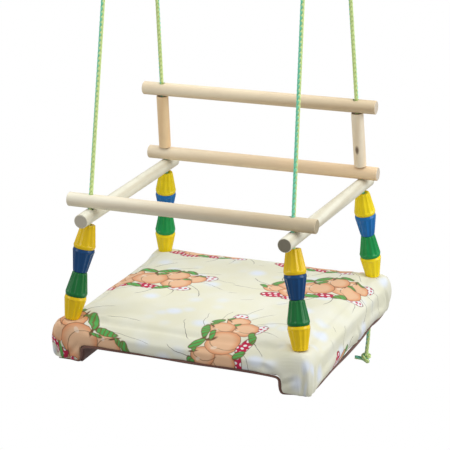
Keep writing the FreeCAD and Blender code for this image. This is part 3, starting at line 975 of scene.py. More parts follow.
# ---------------------------------------------------------------- ropes
@dataclass
class Braid:
    """Eight-strand braid swept along a line.

    Attributes:
        radius: outer radius of the rope.
        lay: length of one full turn of a strand.
        step: sample spacing.
        strands: strands of each hand.
        strand_wide: half width of a strand.
        strand_thick: half thickness of a strand.
        weave: how far a strand rises and falls.
        core: radius of the core, painted dark as the shade between the strands.
    """

    radius: float = 0.0031
    lay: float = 0.028
    step: float = 0.0016
    strands: int = 4
    strand_wide: float = 0.00150
    strand_thick: float = 0.00078
    weave: float = 0.00034
    core: float = 0.0019

    def build(self, name: str, points: Sequence[Vector], phase: float = 0.0,
              swirl: float = 0.5) -> bpy.types.Object:
        """Sweep the strands and a core, painted dark as shade, along the line.

        Args:
            name: object name.
            points: centre line.
            phase: turn of the colours at the start, radians.
            swirl: length in which the two colours go once round, negative for the other way.

        Returns:
            The rope's object.
        """
        line = even_points(points, self.step)
        frames = carried_frames(line)
        bm = bmesh.new()
        side = bm.verts.layers.float.new("side")
        # gap carries painted shade: darker where strands dip under, at their inner edges and on the core.
        gap = bm.verts.layers.float.new("gap")
        lay = bm.verts.layers.float_vector.new("lay")
        for hand in (1.0, -1.0):
            for index in range(self.strands):
                start = 2 * math.pi * (index + (0.5 if hand < 0 else 0.0)) / self.strands
                self.strand(bm, line, frames, hand, start, (phase, swirl), (side, gap, lay))
        self.core_tube(bm, line, frames, gap)
        bmesh.ops.recalc_face_normals(bm, faces=bm.faces)
        return from_bmesh(name, bm)

    def strand(self, bm: bmesh.types.BMesh, line: Sequence[Vector], frames: Sequence[tuple],
               hand: float, start: float, colours: tuple[float, float], layers: tuple) -> None:
        """One strand that runs over and under the strands of the other hand."""
        side, gap, lay = layers
        phase, swirl = colours
        rings = []
        notes = []
        for number, (centre, (tangent, normal, binormal)) in enumerate(zip(line, frames)):
            run = number * self.step
            turn = 2 * math.pi * run / self.lay
            angle = start + hand * turn
            lift = self.weave * hand * math.sin(self.strands * turn)
            out = normal * math.cos(angle) + binormal * math.sin(angle)
            round_way = binormal * math.cos(angle) - normal * math.sin(angle)
            slope = hand * 2 * math.pi * self.radius * 0.75 / self.lay
            wide = (round_way - tangent * slope).normalized()
            middle = centre + out * (self.radius - self.strand_thick - self.weave + lift)
            ring = []
            for corner in range(6):
                around = math.pi * corner / 3
                ring.append(middle + wide * (self.strand_wide * math.cos(around))
                            + out * (self.strand_thick * math.sin(around)))
            rings.append(ring)
            colour_angle = angle - phase - 2 * math.pi * run / swirl
            notes.append((0.5 + 0.5 * math.cos(colour_angle), 0.5 - 0.5 * lift / self.weave, run, start))
        sweep(bm, line, rings)
        made = list(bm.verts)[-6 * len(rings):]
        for index, vert in enumerate(made):
            tint, low, run, first = notes[index // 6]
            corner = index % 6
            vert[side] = tint
            # Painted shade: darker where the strand dips under and at its inner corners; the second hand's strands are
            # darker still.
            vert[gap] = min(1.0, 0.45 * low * (0.35 if corner in (1, 2) else 1.0) + (0.34 if hand < 0 else 0.0))
            vert[lay] = (run * 260.0, corner * 0.9 + first * 3.0, hand * 2.0)

    def core_tube(self, bm: bmesh.types.BMesh, line: Sequence[Vector], frames: Sequence[tuple],
                  gap: object) -> None:
        """Core that closes the gaps between the strands, painted dark as the shade there."""
        rings = []
        for centre, (_, normal, binormal) in zip(line, frames):
            rings.append([centre + normal * (self.core * math.cos(a)) + binormal * (self.core * math.sin(a))
                          for a in (math.pi * k / 3 for k in range(6))])
        sweep(bm, line, rings)
        for vert in list(bm.verts)[-6 * len(rings):]:
            # Painted shade on the core that shows between the strands.
            vert[gap] = 0.9


@dataclass
class Ropes:
    """Four ropes with their eyes, knots and loose tails."""

    diameter: float = 0.0056
    finish: RopeFinish = RopeFinish("braided_rope")
    braid: Braid = field(default_factory=Braid)

    def build(self) -> None:
        """Make every rope, eye, knot and tail."""
        for side in Side:
            self.front_rope(side)
            self.rear_rope(side)
            self.tail(side)
            self.seat_knot(side)
            for end in End:
                self.eye(side, end)
                self.top_knot(side, end)

    def settle(self, obj: bpy.types.Object, *nodes: str) -> bpy.types.Object:
        """Dress a rope piece, let it ride on the seat and replace its nodes."""
        self.finish.dress(obj)
        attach(obj, SWING)
        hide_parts(*nodes)
        LOG.info("rope piece %s", obj.name)
        return obj

    def front_route(self, side: Side) -> list[Vector]:
        """Control points of a front rope, lower end first."""
        r = ROUTE
        end = End.FRONT
        turn = r.plumb(side, end, r.run)
        return [
            r.plumb(side, End.REAR, r.run) - Vector((0, 0.004, 0)),
            turn + Vector((0, 0.060, 0)),
            turn + Vector((0, 0.016, 0)),
            turn,
            turn + Vector((0, 0, 0.016)),
            r.plumb(side, end, -0.014),
            r.point(side, end, 0.0),
            r.point(side, end, 0.034),
            r.point(side, end, r.rail - 0.034),
            r.point(side, end, r.rail),
            r.point(side, end, r.rail + 0.034),
            r.point(side, end, r.top),
        ]

    def rear_route(self, side: Side) -> list[Vector]:
        """Control points of a rear rope, lower end first."""
        r = ROUTE
        end = End.REAR
        return [
            r.plumb(side, end, r.knot),
            r.plumb(side, end, -0.014),
            r.point(side, end, 0.0),
            r.point(side, end, 0.034),
            r.point(side, end, r.rail - 0.034),
            r.point(side, end, r.rail),
            r.point(side, end, r.rail + 0.034),
            r.point(side, end, r.top),
        ]

    def front_rope(self, side: Side) -> None:
        """Front rope: under the batten, through the turn and up."""
        points = spline_points("route", self.front_route(side))
        phase, swirl = (-3.265, 1.44) if side is Side.LEFT else (2.456, -2.3)
        rope = self.braid.build(f"front_rope_{side.label}", points, phase, swirl)
        self.settle(rope, f"rope_front_{side.label}")

    def rear_rope(self, side: Side) -> None:
        """Rear rope: from its knot under the seat straight up."""
        points = spline_points("route", self.rear_route(side))
        phase, swirl = (4.318, -0.475) if side is Side.LEFT else (-3.759, 1.04)
        rope = self.braid.build(f"rear_rope_{side.label}", points, phase, swirl)
        self.settle(rope, f"rope_rear_{side.label}")

    def tail_route(self, side: Side) -> list[Vector]:
        """Control points of a loose tail, upper end first."""
        knot = ROUTE.plumb(side, End.REAR, ROUTE.knot)
        steps = ((-1.5, -2.5, -4.0), (-3.0, -5.5, -18.0), (-3.0, -7.0, -36.0), (-4.5, -8.0, -54.0),
                 (-5.0, -9.0, -66.0))
        return [knot + Vector((side.value * x, y, z)) * MM for x, y, z in steps]

    def tail(self, side: Side) -> None:
        """Loose tail with its end knot."""
        route = self.tail_route(side)
        points = spline_points("route", route)
        tail = self.braid.build(f"loose_tail_{side.label}", points, -1.1, 0.16)
        self.settle(tail, f"rope_tail_{side.label}")
        knot = self.braid.build(f"tail_end_knot_{side.label}", spline_points("route", self.end_knot(side, route[-1])),
                                1.0)
        self.settle(knot, f"tail_knot_{side.label}")

    def end_knot(self, side: Side, centre: Vector) -> list[Vector]:
        """Overhand knot whose short end points inwards."""
        turns = ((0, 0, 5.5), (0.5, 0, 2.0), (3.2, -2.6, 0.0), (5.2, -0.5, 1.2), (3.6, 3.6, 2.6),
                 (-2.5, 4.4, 2.8), (-5.6, 0.6, 2.2), (-3.6, -4.4, 0.8), (1.2, -4.6, -2.6), (3.8, -1.0, -6.4),
                 (0.8, 2.6, -8.6), (-3.2, 1.6, -5.0), (-8.0, -0.4, -2.6), (-17.0, -2.0, -2.0))
        return [centre + Vector((side.value * x, y, z)) * MM for x, y, z in turns]

    def seat_knot(self, side: Side) -> None:
        """Knot that joins both ropes under the rear of a batten."""
        centre = ROUTE.plumb(side, End.REAR, ROUTE.knot)
        turns = ((0, -8, 4.4), (0, -3, 3.6), (4.2, 0, 2.8), (2.6, 4.6, 2.2), (-3.4, 4.2, 1.4), (-4.9, -1.2, 0.4),
                 (-0.8, -4.9, -1.0), (4.4, -2.6, -1.8), (4.4, 3.0, -2.6), (-1.4, 4.8, -3.2), (-4.6, 0.8, -3.6),
                 (-2.5, -2.5, -4.0), (-3.0, -3.4, -6.0))
        route = [centre + Vector((side.value * x, y, z)) * MM for x, y, z in turns]
        knot = self.braid.build(f"under_seat_knot_{side.label}", spline_points("route", route), 0.0)
        self.settle(knot, f"seat_knot_{side.label}")

    def eye(self, side: Side, end: End) -> None:
        """Hanging eye above a top knot."""
        base = ROUTE.point(side, end, ROUTE.top)
        up = ROUTE.up(side, end, ROUTE.rail, 0.2716)
        outline = ((-3.0, 4.0), (-10.5, 24.0), (-6.5, 44.0), (6.5, 44.0), (10.5, 24.0), (3.0, 4.0))
        route = [base + (Vector((x, 0, 0)) + up * z) * MM for x, z in outline]
        points = spline_points("route", route)
        loop = self.braid.build(f"rope_eye_{end.label}_{side.label}", points, 1.2)
        self.settle(loop, f"hanging_loop_{end.label}_{side.label}")

    def top_knot(self, side: Side, end: End) -> None:
        """Knot that closes a hanging eye."""
        base = ROUTE.point(side, end, ROUTE.top)
        up = ROUTE.up(side, end, ROUTE.rail, 0.2716)
        ahead = Vector((1, 0, 0)).cross(up)
        turns = ((-3.0, 0, 8.0), (-3.6, 0, 4.0), (0.6, -4.6, 3.0), (4.9, -0.4, 2.4), (1.6, 4.6, 1.6), (-4.0, 3.0, 0.4),
                 (-4.2, -3.0, -1.2), (1.6, -4.8, -2.4), (5.0, 0.4, -3.4), (0.8, 4.8, -4.2), (-3.8, 1.8, -5.0),
                 (-1.0, -0.5, -8.5))
        route = [base + (Vector((1, 0, 0)) * x + ahead * y + up * z) * MM for x, y, z in turns]
        knot = self.braid.build(f"eye_knot_{end.label}_{side.label}", spline_points("route", route), 0.0)
        self.settle(knot, f"top_knot_{end.label}_{side.label}")


# ---------------------------------------------------------------- beads
@dataclass
class Beads:
    """Sixteen fluted cups in four columns.

    Attributes:
        pitch: vertical pitch in a column.
        foot: height of the lowest cup's centre over the seat plane.
        gap: running gap between two cups.
    """

    pitch: float = 0.0339
    foot: float = 0.0004
    gap: float = 0.0003
    narrow: float = 0.0104
    wide: float = 0.0157
    rim: float = 0.0150
    rim_height: float = 0.0046
    wall: float = 0.0020
    bore: float = 0.0045
    flutes: int = 12
    flute_depth: float = 0.0012
    around: int = 120
    colours: tuple[Hue, ...] = (Hue.YELLOW, Hue.GREEN, Hue.BLUE, Hue.YELLOW)

    def profile(self, length: float) -> list[tuple[float, float, float]]:
        """Outline of the cup from the bore at the foot, up and over the rim, to the inside floor.

        Args:
            length: height of the cup.

        Returns:
            (radius, height, flute share) triples.
        """
        cone = length - self.rim_height
        slope = (self.wide - self.narrow) / cone
        points = [(self.bore, 0.0002, 0.0), (self.narrow - 0.0016, 0.0, 0.0), (self.narrow - 0.0005, 0.00025, 0.25),
                  (self.narrow + slope * 0.0012, 0.0012, 0.7)]
        for share in (0.12, 0.3, 0.5, 0.7, 0.85, 0.93):
            points.append((self.narrow + slope * cone * share, cone * share, 1.0))
        points += [(self.wide - 0.0001, cone - 0.0007, 0.8), (self.wide, cone, 0.3),
                   (self.wide, cone + 0.0007, 0.0), (self.wide - 0.0001, cone + 0.0012, 0.0),
                   (self.rim, length - 0.0005, 0.0), (self.rim - 0.0004, length, 0.0),
                   (self.rim - self.wall + 0.0003, length, 0.0), (self.rim - self.wall, length - 0.0006, 0.0),
                   (self.narrow - self.wall + slope * 0.004, 0.0040, 0.0), (self.narrow - self.wall - 0.001, 0.0031, 0.0),
                   (self.bore + 0.0003, 0.0030, 0.0), (self.bore, 0.0027, 0.0)]
        return points

    def cup(self, length: float) -> bmesh.types.BMesh:
        """Spin the profile and press in the flutes.

        Args:
            length: height of the cup.

        Returns:
            Closed bmesh with its foot at the origin.
        """
        bm = bmesh.new()
        outline = self.profile(length)
        share_layer = bm.verts.layers.float.new("flute")
        verts = []
        for radius, height, share in outline:
            vert = bm.verts.new((radius, 0.0, height))
            vert[share_layer] = share
            verts.append(vert)
        edges = [bm.edges.new((a, b)) for a, b in zip(verts, verts[1:] + verts[:1])]
        bmesh.ops.spin(bm, geom=verts + edges, axis=(0, 0, 1), cent=(0, 0, 0), angle=2 * math.pi,
                       steps=self.around, use_merge=True)
        bmesh.ops.remove_doubles(bm, verts=bm.verts, dist=1e-7)
        for vert in bm.verts:
            share = vert[share_layer]
            if share > 0:
                angle = math.atan2(vert.co.y, vert.co.x)
                groove = abs(math.cos(angle * self.flutes / 2)) ** 1.3
                radius = math.hypot(vert.co.x, vert.co.y)
                scale = 1 - self.flute_depth * share * groove / radius
                vert.co.x *= scale
                vert.co.y *= scale
        bmesh.ops.recalc_face_normals(bm, faces=bm.faces)
        return bm

    def build(self) -> None:
        """Make the columns and dress each cup."""
        for side in Side:
            for end in End:
                self.column(side, end)

    def column(self, side: Side, end: End) -> None:
        """Four cups, narrow ends at the foot, the middle and the head."""
        up = ROUTE.up(side, end, 0.0, ROUTE.rail)
        pitch = self.pitch / up.z
        length = pitch - self.gap
        for index, hue in enumerate(self.colours):
            foot = ROUTE.point(side, end, self.foot + index * self.pitch) + up * (self.gap / 2)
            flip = index % 2 == 1
            along = -up if flip else up
            start = foot + up * length if flip else foot
            turn = Vector((0, 0, 1)).rotation_difference(along).to_matrix().to_4x4()
            spin = Matrix.Rotation(0.9 * index + side.value + 0.4 * end.value, 4, "Z")
            bm = self.cup(length)
            bm.transform(Matrix.Translation(start) @ turn @ spin)
            name = f"bead_{end.label}_{side.label}_{index + 1}"
            cup = from_bmesh(f"cup_{end.label}_{side.label}_{index + 1}", bm)
            # Painted light: the rear cups get a lighter copy of the plastic than the front cups.
            PlasticFinish(f"{hue.name.lower()}_cup_plastic_{end.label}", hue, end).dress(cup)
            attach(cup, name)
            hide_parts(name)
            LOG.info("cup %s", cup.name)


# ---------------------------------------------------------------- woodwork
@dataclass
class Woodwork:
    """Rails, posts, battens and board keep the frame's shapes and get real wood."""

    tan: Point = (0.91, 0.79, 0.59)
    pale: Point = (0.78, 0.76, 0.63)

    def build(self) -> None:
        """Dress every wooden node."""
        across = (1.0, 0.0, 0.0)
        along = (0.0, 1.0, 0.0)
        upright = (0.0, 0.0, 1.0)
        WoodFinish("front_bar_wood", across, (0.92, 0.87, 0.71), (0.80, 0.70, 0.53),
                   (0.50, 0.42, 0.28), far_end_share=(0.70, 0.62, 0.52)).dress_node("front_bar")
        for node, far_end_share in (("back_lower_rail", (1.0, 0.88, 0.76)), ("back_top_rail", (0.82, 0.76, 0.68))):
            WoodFinish(f"{node}_wood", across, self.tan, (0.80, 0.65, 0.45),
                       (0.80, 0.70, 0.56), far_end_share=far_end_share).dress_node(node)
        ends = {Side.LEFT: (0.62, 0.57, 0.46), Side.RIGHT: (0.29, 0.26, 0.19)}
        for side in Side:
            WoodFinish(f"side_rail_wood_{side.label}", along, self.pale, (0.62, 0.57, 0.43),
                       ends[side]).dress_node(f"side_rail_{side.label}")
            spot = ROUTE.point(side, End.REAR, 0.205) + Vector((-0.0008, -0.0089, 0.0))
            pale, dark = ((0.94, 0.71, 0.43), (0.86, 0.60, 0.34)) if side is Side.LEFT else (
                (0.95, 0.84, 0.65), (0.88, 0.73, 0.52))
            WoodFinish(f"post_wood_{side.label}", upright, pale, dark, (0.45, 0.34, 0.23),
                       tuple(spot) if side is Side.RIGHT else None).dress_node(f"back_post_{side.label}")
            WoodFinish("batten_wood", along, (0.74, 0.58, 0.38), (0.60, 0.42, 0.25)).dress_node(f"batten_{side.label}")
        WoodFinish("board_wood", across, (0.70, 0.52, 0.32), (0.58, 0.40, 0.23)).dress_node("seat_panel")
        SteelFinish("zinc").dress_node("panel_screws")
        SteelFinish("zinc").dress_node("cover_staples")
        LOG.info("woodwork dressed")


# ---------------------------------------------------------------- seat
@dataclass(frozen=True)
class Fold:
    """One fold pressed into the cover.

    Attributes:
        start: its upper end.
        end: its lower end.
        out: outward direction of the cloth there.
        deep: depth.
        wide: half width.
    """

    start: Point
    end: Point
    out: Point
    deep: float = 0.0022
    wide: float = 0.0030


@dataclass
class Seat:
    """Stuffed cover, foam and brown lining.

    Attributes:
        half_x: half width of the seat.
        half_y: half depth of the seat.
        top: height of the cover's top over the seat plane.
        board: height of the board's underside.
        sole: height of the batten's underside.
        inner: half width between the battens.
        crown: how far the pad may swell.
    """

    half_x: float = 0.1903
    half_y: float = 0.1843
    top: float = -0.0020
    board: float = -0.0300
    sole: float = -0.0548
    inner: float = 0.1493
    crown: float = 0.007
    voxel: float = 0.0042
    folds: tuple[Fold, ...] = (
        Fold((-0.180, -0.184, -0.540), (-0.187, -0.184, -0.586), (0.0, -1.0, 0.0), 0.0050),
        Fold((-0.152, -0.184, -0.556), (-0.172, -0.184, -0.586), (0.0, -1.0, 0.0), 0.0030),
        Fold((0.181, -0.184, -0.543), (0.184, -0.184, -0.588), (0.0, -1.0, 0.0), 0.0050),
        Fold((0.172, -0.184, -0.560), (0.151, -0.184, -0.572), (0.0, -1.0, 0.0), 0.0030),
        Fold((0.120, -0.184, -0.545), (0.146, -0.184, -0.562), (0.0, -1.0, 0.0), 0.0022, 0.0045),
        Fold((0.190, -0.168, -0.548), (0.190, -0.176, -0.586), (1.0, 0.0, 0.0), 0.0040),
        Fold((0.190, 0.020, -0.560), (0.190, 0.035, -0.586), (1.0, 0.0, 0.0), 0.0030),
        Fold((0.190, 0.150, -0.545), (0.190, 0.165, -0.586), (1.0, 0.0, 0.0), 0.0040),
        Fold((-0.190, -0.165, -0.548), (-0.190, -0.176, -0.586), (-1.0, 0.0, 0.0), 0.0040),
    )

    def build(self) -> None:
        """Make the cover and the lining, and dress the foam."""
        self.cover()
        self.lining()
        self.foam()

    def blank(self) -> bmesh.types.BMesh:
        """Slab with a foot under each side edge, in the row frame.

        Returns:
            Closed bmesh with rounded top edges and corners.
        """
        bm = bmesh.new()
        bmesh.ops.create_cube(bm, size=1.0)
        tall = self.top - self.board
        bmesh.ops.scale(bm, verts=bm.verts, vec=(2 * self.half_x, 2 * self.half_y, tall))
        bmesh.ops.translate(bm, verts=bm.verts, vec=(0, 0, (self.top + self.board) / 2 - HANG))
        for x in (-self.inner, self.inner):
            bmesh.ops.bisect_plane(bm, geom=bm.verts[:] + bm.edges[:] + bm.faces[:], plane_co=(x, 0, 0),
                                   plane_no=(1, 0, 0))
        low = self.board - HANG
        soles = [f for f in bm.faces if f.normal.z < -0.9 and abs(f.calc_center_median().x) > self.inner]
        made = bmesh.ops.extrude_face_region(bm, geom=soles)
        down = [v for v in made["geom"] if isinstance(v, bmesh.types.BMVert)]
        bmesh.ops.delete(bm, geom=soles, context="FACES_ONLY")
        bmesh.ops.translate(bm, verts=down, vec=(0, 0, self.sole - self.board))
        bm.normal_update()
        corners = [e for e in bm.edges if self.is_corner(e)]
        bmesh.ops.bevel(bm, geom=corners, offset=0.012, offset_type="OFFSET", affect="EDGES", segments=4,
                        profile=0.5, material=-1)
        rims = [e for e in bm.edges if self.is_top_rim(e)]
        bmesh.ops.bevel(bm, geom=rims, offset=0.012, offset_type="OFFSET", affect="EDGES", segments=4,
                        profile=0.5, material=-1)
        bmesh.ops.recalc_face_normals(bm, faces=bm.faces)
        return bm

    def foam(self) -> None:
        """Foam slab inside the cover, with softened upper edges."""
        bm = bmesh.new()
        bmesh.ops.create_cube(bm, size=1.0)
        low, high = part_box("foam_pad")
        inset = 0.004
        size = (high.x - low.x - 2 * inset, high.y - low.y - 2 * inset, high.z - low.z - inset)
        bmesh.ops.scale(bm, verts=bm.verts, vec=size)
        middle = (low + high) / 2
        bmesh.ops.translate(bm, verts=bm.verts, vec=(middle.x, middle.y, middle.z - inset / 2))
        rims = [e for e in bm.edges if sum(v.co.z > middle.z for v in e.verts) == 2
                or abs(e.verts[0].co.z - e.verts[1].co.z) > 0.001]
        bmesh.ops.bevel(bm, geom=rims, offset=0.012, offset_type="OFFSET", affect="EDGES", segments=4,
                        profile=0.5, material=-1)
        slab = from_bmesh("foam_slab", bm)
        FoamFinish("cream_foam").dress(slab)
        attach(slab, SWING)
        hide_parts("foam_pad")
        LOG.info("foam made")

    def is_corner(self, edge: bmesh.types.BMEdge) -> bool:
        """Whether an edge is one of the four outer upright corners."""
        a, b = (v.co for v in edge.verts)
        upright = abs(a.x - b.x) < 1e-6 and abs(a.y - b.y) < 1e-6
        return upright and abs(a.x) > self.half_x - 1e-4 and abs(a.y) > self.half_y - 1e-4

    def is_top_rim(self, edge: bmesh.types.BMEdge) -> bool:
        """Whether an edge runs round the top face."""
        if len(edge.link_faces) != 2:
            return False
        tops = [f for f in edge.link_faces if f.normal.z > 0.9]
        high = all(v.co.z > self.top - HANG - 1e-4 for v in edge.verts)
        return high and len(tops) == 1

    def cover(self) -> None:
        """Stuff the cover, pull it in at its hem and print it."""
        blank = from_bmesh("printed_cover", self.blank())
        blank.data.name = "printed_cover"
        self.remesh(blank)
        self.stuff(blank)
        self.shape(blank)
        self.unwrap(blank)
        smooth = blank.modifiers.new("soft", "SUBSURF")
        smooth.levels = 1
        smooth.render_levels = 1
        PrintFinish("printed_cotton_cloth").dress(blank)
        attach(blank, SWING)
        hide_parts("fabric_cover")
        LOG.info("cover made")

    def remesh(self, obj: bpy.types.Object) -> None:
        """Even quads all over the blank, drawn back to its faces."""
        target = new_object("pattern", obj.data.copy())
        modifier = obj.modifiers.new("even", "REMESH")
        modifier.mode = "VOXEL"
        modifier.voxel_size = self.voxel
        fit = obj.modifiers.new("fit", "SHRINKWRAP")
        fit.target = target
        fit.wrap_method = "NEAREST_SURFACEPOINT"
        self.apply(obj)
        bpy.data.meshes.remove(target.data)

    def apply(self, obj: bpy.types.Object) -> None:
        """Bake an object's modifiers into its mesh."""
        bpy.context.view_layer.update()
        graph = bpy.context.evaluated_depsgraph_get()
        mesh = bpy.data.meshes.new_from_object(obj.evaluated_get(graph))
        old = obj.data
        obj.modifiers.clear()
        obj.data = mesh
        bpy.data.meshes.remove(old)

    def stuff(self, obj: bpy.types.Object) -> None:
        """Blow the cover up against its stapled hem with cloth simulation."""
        start = [v.co.copy() for v in obj.data.vertices]
        outward = [v.normal.copy() for v in obj.data.vertices]
        pinned = obj.vertex_groups.new(name="stapled")
        for vert in obj.data.vertices:
            height = vert.co.z + HANG
            flat_below = height < self.board + 0.003 and abs(vert.co.x) < self.inner + 0.002
            if flat_below or height < self.sole + 0.004:
                pinned.add([vert.index], 1.0, "REPLACE")
        cloth = obj.modifiers.new("stuffing", "CLOTH")
        settings = cloth.settings
        settings.vertex_group_mass = "stapled"
        settings.use_pressure = True
        settings.uniform_pressure_force = 4.0
        settings.effector_weights.gravity = 0.0
        settings.mass = 0.3
        settings.tension_stiffness = 12.0
        settings.compression_stiffness = 12.0
        settings.bending_stiffness = 0.6
        settings.quality = 5
        cloth.collision_settings.use_collision = False
        scene = bpy.context.scene
        for step in range(1, 21):
            scene.frame_set(step)
        self.apply(obj)
        scene.frame_set(1)
        for vert, rest, out in zip(obj.data.vertices, start, outward):
            move = vert.co - rest
            inward = move.dot(out)
            if inward < 0.0:
                move -= out * inward
            if move.length > self.crown:
                move = move.normalized() * self.crown
            vert.co = rest + move

    def shape(self, obj: bpy.types.Object) -> None:
        """Crown the pad, let the beads sink in, pucker the sides and fold the corners."""
        for vert in obj.data.vertices:
            co = vert.co
            height = co.z + HANG
            if height > self.top - 0.012:
                co.z += self.swell(co) * min(1.0, (height - self.top + 0.012) / 0.012)
            self.pucker(vert, height)
            for fold in self.folds:
                self.crease(co, fold)
            co.z -= self.low_corner(co.x, co.y)

    @staticmethod
    def low_corner(x: float, y: float) -> float:
        """How far the pad hangs lower towards its front right corner."""
        across = max(0.0, min(1.0, (x + 0.10) / 0.29))
        ahead = max(0.0, min(1.0, (-y - 0.02) / 0.165))
        return 0.0034 * across * ahead * ahead

    def swell(self, co: Vector) -> float:
        """How far the top rises at a place, low under the bead columns."""
        edge = min(self.half_x - abs(co.x), self.half_y - abs(co.y))
        rise = 0.0038 * min(1.0, max(0.0, edge / 0.05)) + noise.noise(co * 11.0) * 0.0022
        rise -= 0.0072 * max(0.0, 1 - max(0.0, edge) / 0.030) ** 2
        rise += noise.noise(co * 30.0) * 0.0006
        for side in Side:
            for end in End:
                foot = ROUTE.point(side, end, 0.0)
                away = math.hypot(co.x - foot.x, co.y - foot.y)
                if away < 0.040:
                    share = max(0.0, min(1.0, (away - 0.009) / 0.031))
                    blend = share * share * (3 - 2 * share)
                    wanted = 0.0024 - (co.z + HANG - self.top) + 0.0016 * math.sin(math.pi * share)
                    wanted += self.low_corner(co.x, co.y)
                    rise = rise * blend + wanted * (1 - blend) + 0.0012 * math.sin(math.pi * share)
        return rise

    def pucker(self, vert: bpy.types.MeshVertex, height: float) -> None:
        """Small waves in the sides, stronger towards the hem."""
        co = vert.co
        down = max(0.0, min(1.0, (self.top - height) / 0.03))
        out_x = abs(co.x) > self.half_x - 0.006
        out_y = abs(co.y) > self.half_y - 0.006
        if down <= 0.0 or not (out_x or out_y):
            return
        wave = noise.noise(Vector((co.x * 24, co.y * 24, 3.0))) * 0.0028
        wave += noise.noise(Vector((co.x * 75, co.y * 75, co.z * 22))) * 0.0009
        belly = 0.0022 * math.sin(math.pi * max(0.0, min(1.0, (self.top - height) / 0.05)))
        push = Vector((math.copysign(1, co.x) if out_x else 0, math.copysign(1, co.y) if out_y else 0, 0))
        full = Vector((-1.0, -0.35, 0.0)) * max(0.0, 1 - (co - Vector((-0.19, -0.175, -0.556))).length / 0.055)
        full += Vector((1.0, 0.5, 0.0)) * max(0.0, 1 - (co - Vector((0.19, 0.178, -0.558))).length / 0.060)
        full += Vector((0.7, -0.5, 0.0)) * max(0.0, 1 - (co - Vector((0.19, -0.184, -0.580))).length / 0.050)
        vert.co = co + push * ((wave * down) + belly) + full * 0.0062

    def crease(self, co: Vector, fold: "Fold") -> None:
        """Press one fold line into the cloth."""
        start, end = Vector(fold.start), Vector(fold.end)
        along = end - start
        share = max(0.0, min(1.0, (co - start).dot(along) / along.length_squared))
        offset = co - (start + along * share)
        out = Vector(fold.out)
        depth = offset.dot(out)
        away = (offset - out * depth).length
        if away < 4 * fold.wide and abs(depth) < 0.012:
            hollow = math.exp(-(away / fold.wide) ** 2) - 0.55 * math.exp(-((away - 2 * fold.wide) / fold.wide) ** 2)
            taper = min(1.0, 4 * share + 0.15, 4 * (1 - share) + 0.4)
            co -= out * (fold.deep * hollow * taper)

    def unwrap(self, obj: bpy.types.Object) -> None:
        """Lay the cloth out flat: the top as seen from above, the sides folded out."""
        layer = obj.data.uv_layers.new(name="cloth")
        reach = self.top - HANG
        spots = []
        for vert in obj.data.vertices:
            drop = max(0.0, reach - vert.co.z)
            side_x = min(1.0, max(0.0, (abs(vert.co.x) - self.half_x + 0.012) / 0.012))
            side_y = min(1.0, max(0.0, (abs(vert.co.y) - self.half_y + 0.012) / 0.012))
            spots.append((vert.co.x + math.copysign(drop * side_x, vert.co.x),
                          vert.co.y + math.copysign(drop * side_y, vert.co.y)))
        for loop in obj.data.loops:
            layer.data[loop.index].uv = spots[loop.vertex_index]

    def lining(self) -> None:
        """Brown lining with a rolled hem that shows as a line below the cover."""
        bm = bmesh.new()
        gap = 0.0003
        under = self.board - HANG
        sole = self.sole - HANG
        profile = [(-self.half_x + 0.005, sole), (-self.inner + 0.0007, sole), (-self.inner + 0.0005, under),
                   (self.inner - 0.0005, under), (self.inner - 0.0007, sole), (self.half_x - 0.005, sole)]
        line = []
        for (x0, z0), (x1, z1) in zip(profile, profile[1:]):
            count = max(2, round(math.hypot(x1 - x0, z1 - z0) / 0.008))
            for step in range(count):
                share = step / count
                line.append((x0 + (x1 - x0) * share, z0 + (z1 - z0) * share))
        line.append(profile[-1])
        verts = [bm.verts.new((x, -self.half_y + 0.004, z - 0.0006)) for x, z in line]
        edges = [bm.edges.new(pair) for pair in zip(verts, verts[1:])]
        rows = 44
        current = edges
        for _ in range(rows):
            made = bmesh.ops.extrude_edge_only(bm, edges=current)
            moved = [g for g in made["geom"] if isinstance(g, bmesh.types.BMVert)]
            bmesh.ops.translate(bm, verts=moved, vec=(0, (2 * self.half_y - 0.008) / rows, 0))
            current = [g for g in made["geom"] if isinstance(g, bmesh.types.BMEdge)
                       and all(v in moved for v in g.verts)]
        for vert in bm.verts:
            sag = noise.noise(Vector((vert.co.x * 16, vert.co.y * 16, 7.0)))
            vert.co.z += min(0.0, sag) * 0.0022 - gap - self.low_corner(vert.co.x, vert.co.y)
        bmesh.ops.recalc_face_normals(bm, faces=bm.faces)
        sheet = from_bmesh("seat_lining", bm)
        thick = sheet.modifiers.new("thick", "SOLIDIFY")
        thick.thickness = 0.0009
        LiningFinish("brown_lining_cloth").dress(sheet)
        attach(sheet, SWING)
        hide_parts("underside_lining")
        self.hem()
        LOG.info("lining made")

    def hem(self) -> None:
        """Rolled edge of the lining, plain between the feet and mostly tucked up under them."""
        runs = {"front": self.front_hem(-1), "rear": self.front_hem(1), "left": self.side_hem(-1),
                "right": self.side_hem(1)}
        for name, steps in runs.items():
            route = [Vector((x, y, z - HANG - self.low_corner(x, y))) for x, y, z, _ in steps]
            thick = [Vector((0, 0, r)) for _, _, _, r in steps]
            points = spline_points("hem", route)
            radii = [p.z for p in spline_points("hem", thick)]
            bm = bmesh.new()
            rings = []
            for centre, radius, (_, normal, binormal) in zip(points, radii, carried_frames(points)):
                rings.append([centre + (normal * math.cos(a) + binormal * math.sin(a)) * radius
                              for a in (math.pi * k / 4 for k in range(8))])
            sweep(bm, points, rings)
            bmesh.ops.recalc_face_normals(bm, faces=bm.faces)
            roll = from_bmesh(f"lining_hem_{name}", bm)
            LiningFinish("brown_lining_cloth").dress(roll)
            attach(roll, SWING)

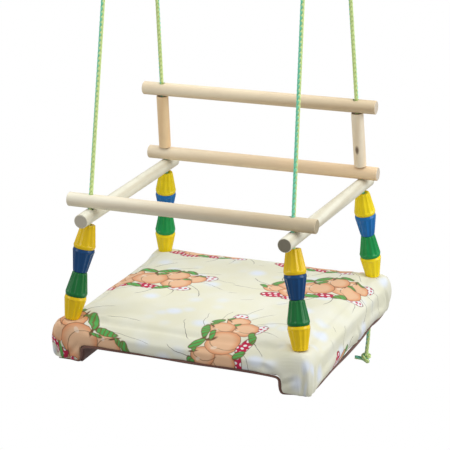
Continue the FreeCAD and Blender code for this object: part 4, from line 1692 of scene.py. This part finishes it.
    def front_hem(self, way: int) -> list[tuple[float, float, float, float]]:
        """Places and radii of the hem along the front or the rear."""
        under = self.board - 0.0008
        sole = self.sole - 0.0002
        y = way * (self.half_y - 0.0004)
        x = self.inner
        steps = [(-x - 0.030, y - way * 0.004, sole + 0.001, 0.0006), (-x - 0.010, y - way * 0.002, sole, 0.0008),
                 (-x - 0.001, y, sole + 0.0010, 0.0014), (-x + 0.0012, y, sole + 0.010, 0.0017),
                 (-x + 0.0015, y, under - 0.003, 0.0018), (-x + 0.012, y, under, 0.0017), (-0.09, y, under - 0.0006, 0.0015),
                 (-0.04, y, under + 0.0003, 0.0017), (0.02, y, under - 0.0008, 0.0020), (0.07, y, under, 0.0016),
                 (x - 0.012, y, under - 0.0004, 0.0018), (x - 0.0015, y, under - 0.003, 0.0020),
                 (x - 0.0012, y, sole + 0.010, 0.0022), (x + 0.001, y, sole + 0.0010, 0.0020),
                 (x + 0.008, y - way * 0.001, sole, 0.0012), (x + 0.030, y - way * 0.004, sole + 0.001, 0.0006)]
        return steps

    def side_hem(self, way: int) -> list[tuple[float, float, float, float]]:
        """Places and radii of the hem along one side."""
        sole = self.sole
        x = way * (self.half_x - 0.0006)
        steps = [(x - way * 0.004, -0.178, sole + 0.0004, 0.0008), (x, -0.160, sole + 0.0002, 0.0011),
                 (x, -0.110, sole - 0.0001, 0.0012), (x, -0.070, sole - 0.0006, 0.0014), (x, -0.040, sole - 0.0016, 0.0020),
                 (x, 0.0, sole - 0.0022, 0.0023), (x, 0.045, sole - 0.0020, 0.0022), (x, 0.085, sole - 0.0008, 0.0014),
                 (x, 0.100, sole + 0.0006, 0.0010), (x, 0.112, sole - 0.0006, 0.0016), (x, 0.140, sole - 0.0014, 0.0020),
                 (x, 0.165, sole - 0.0004, 0.0015), (x - way * 0.003, 0.178, sole + 0.0002, 0.0012),
                 (x - way * 0.012, 0.1838, sole + 0.0002, 0.0012)]
        return steps


def main() -> None:
    """Build the stage, then every sub-assembly in order."""
    logging.basicConfig(level=logging.INFO, format="%(name)s: %(message)s")
    Stage().build()
    Ropes().build()
    Beads().build()
    Woodwork().build()
    Seat().build()


if __name__ == "__main__":
    main()
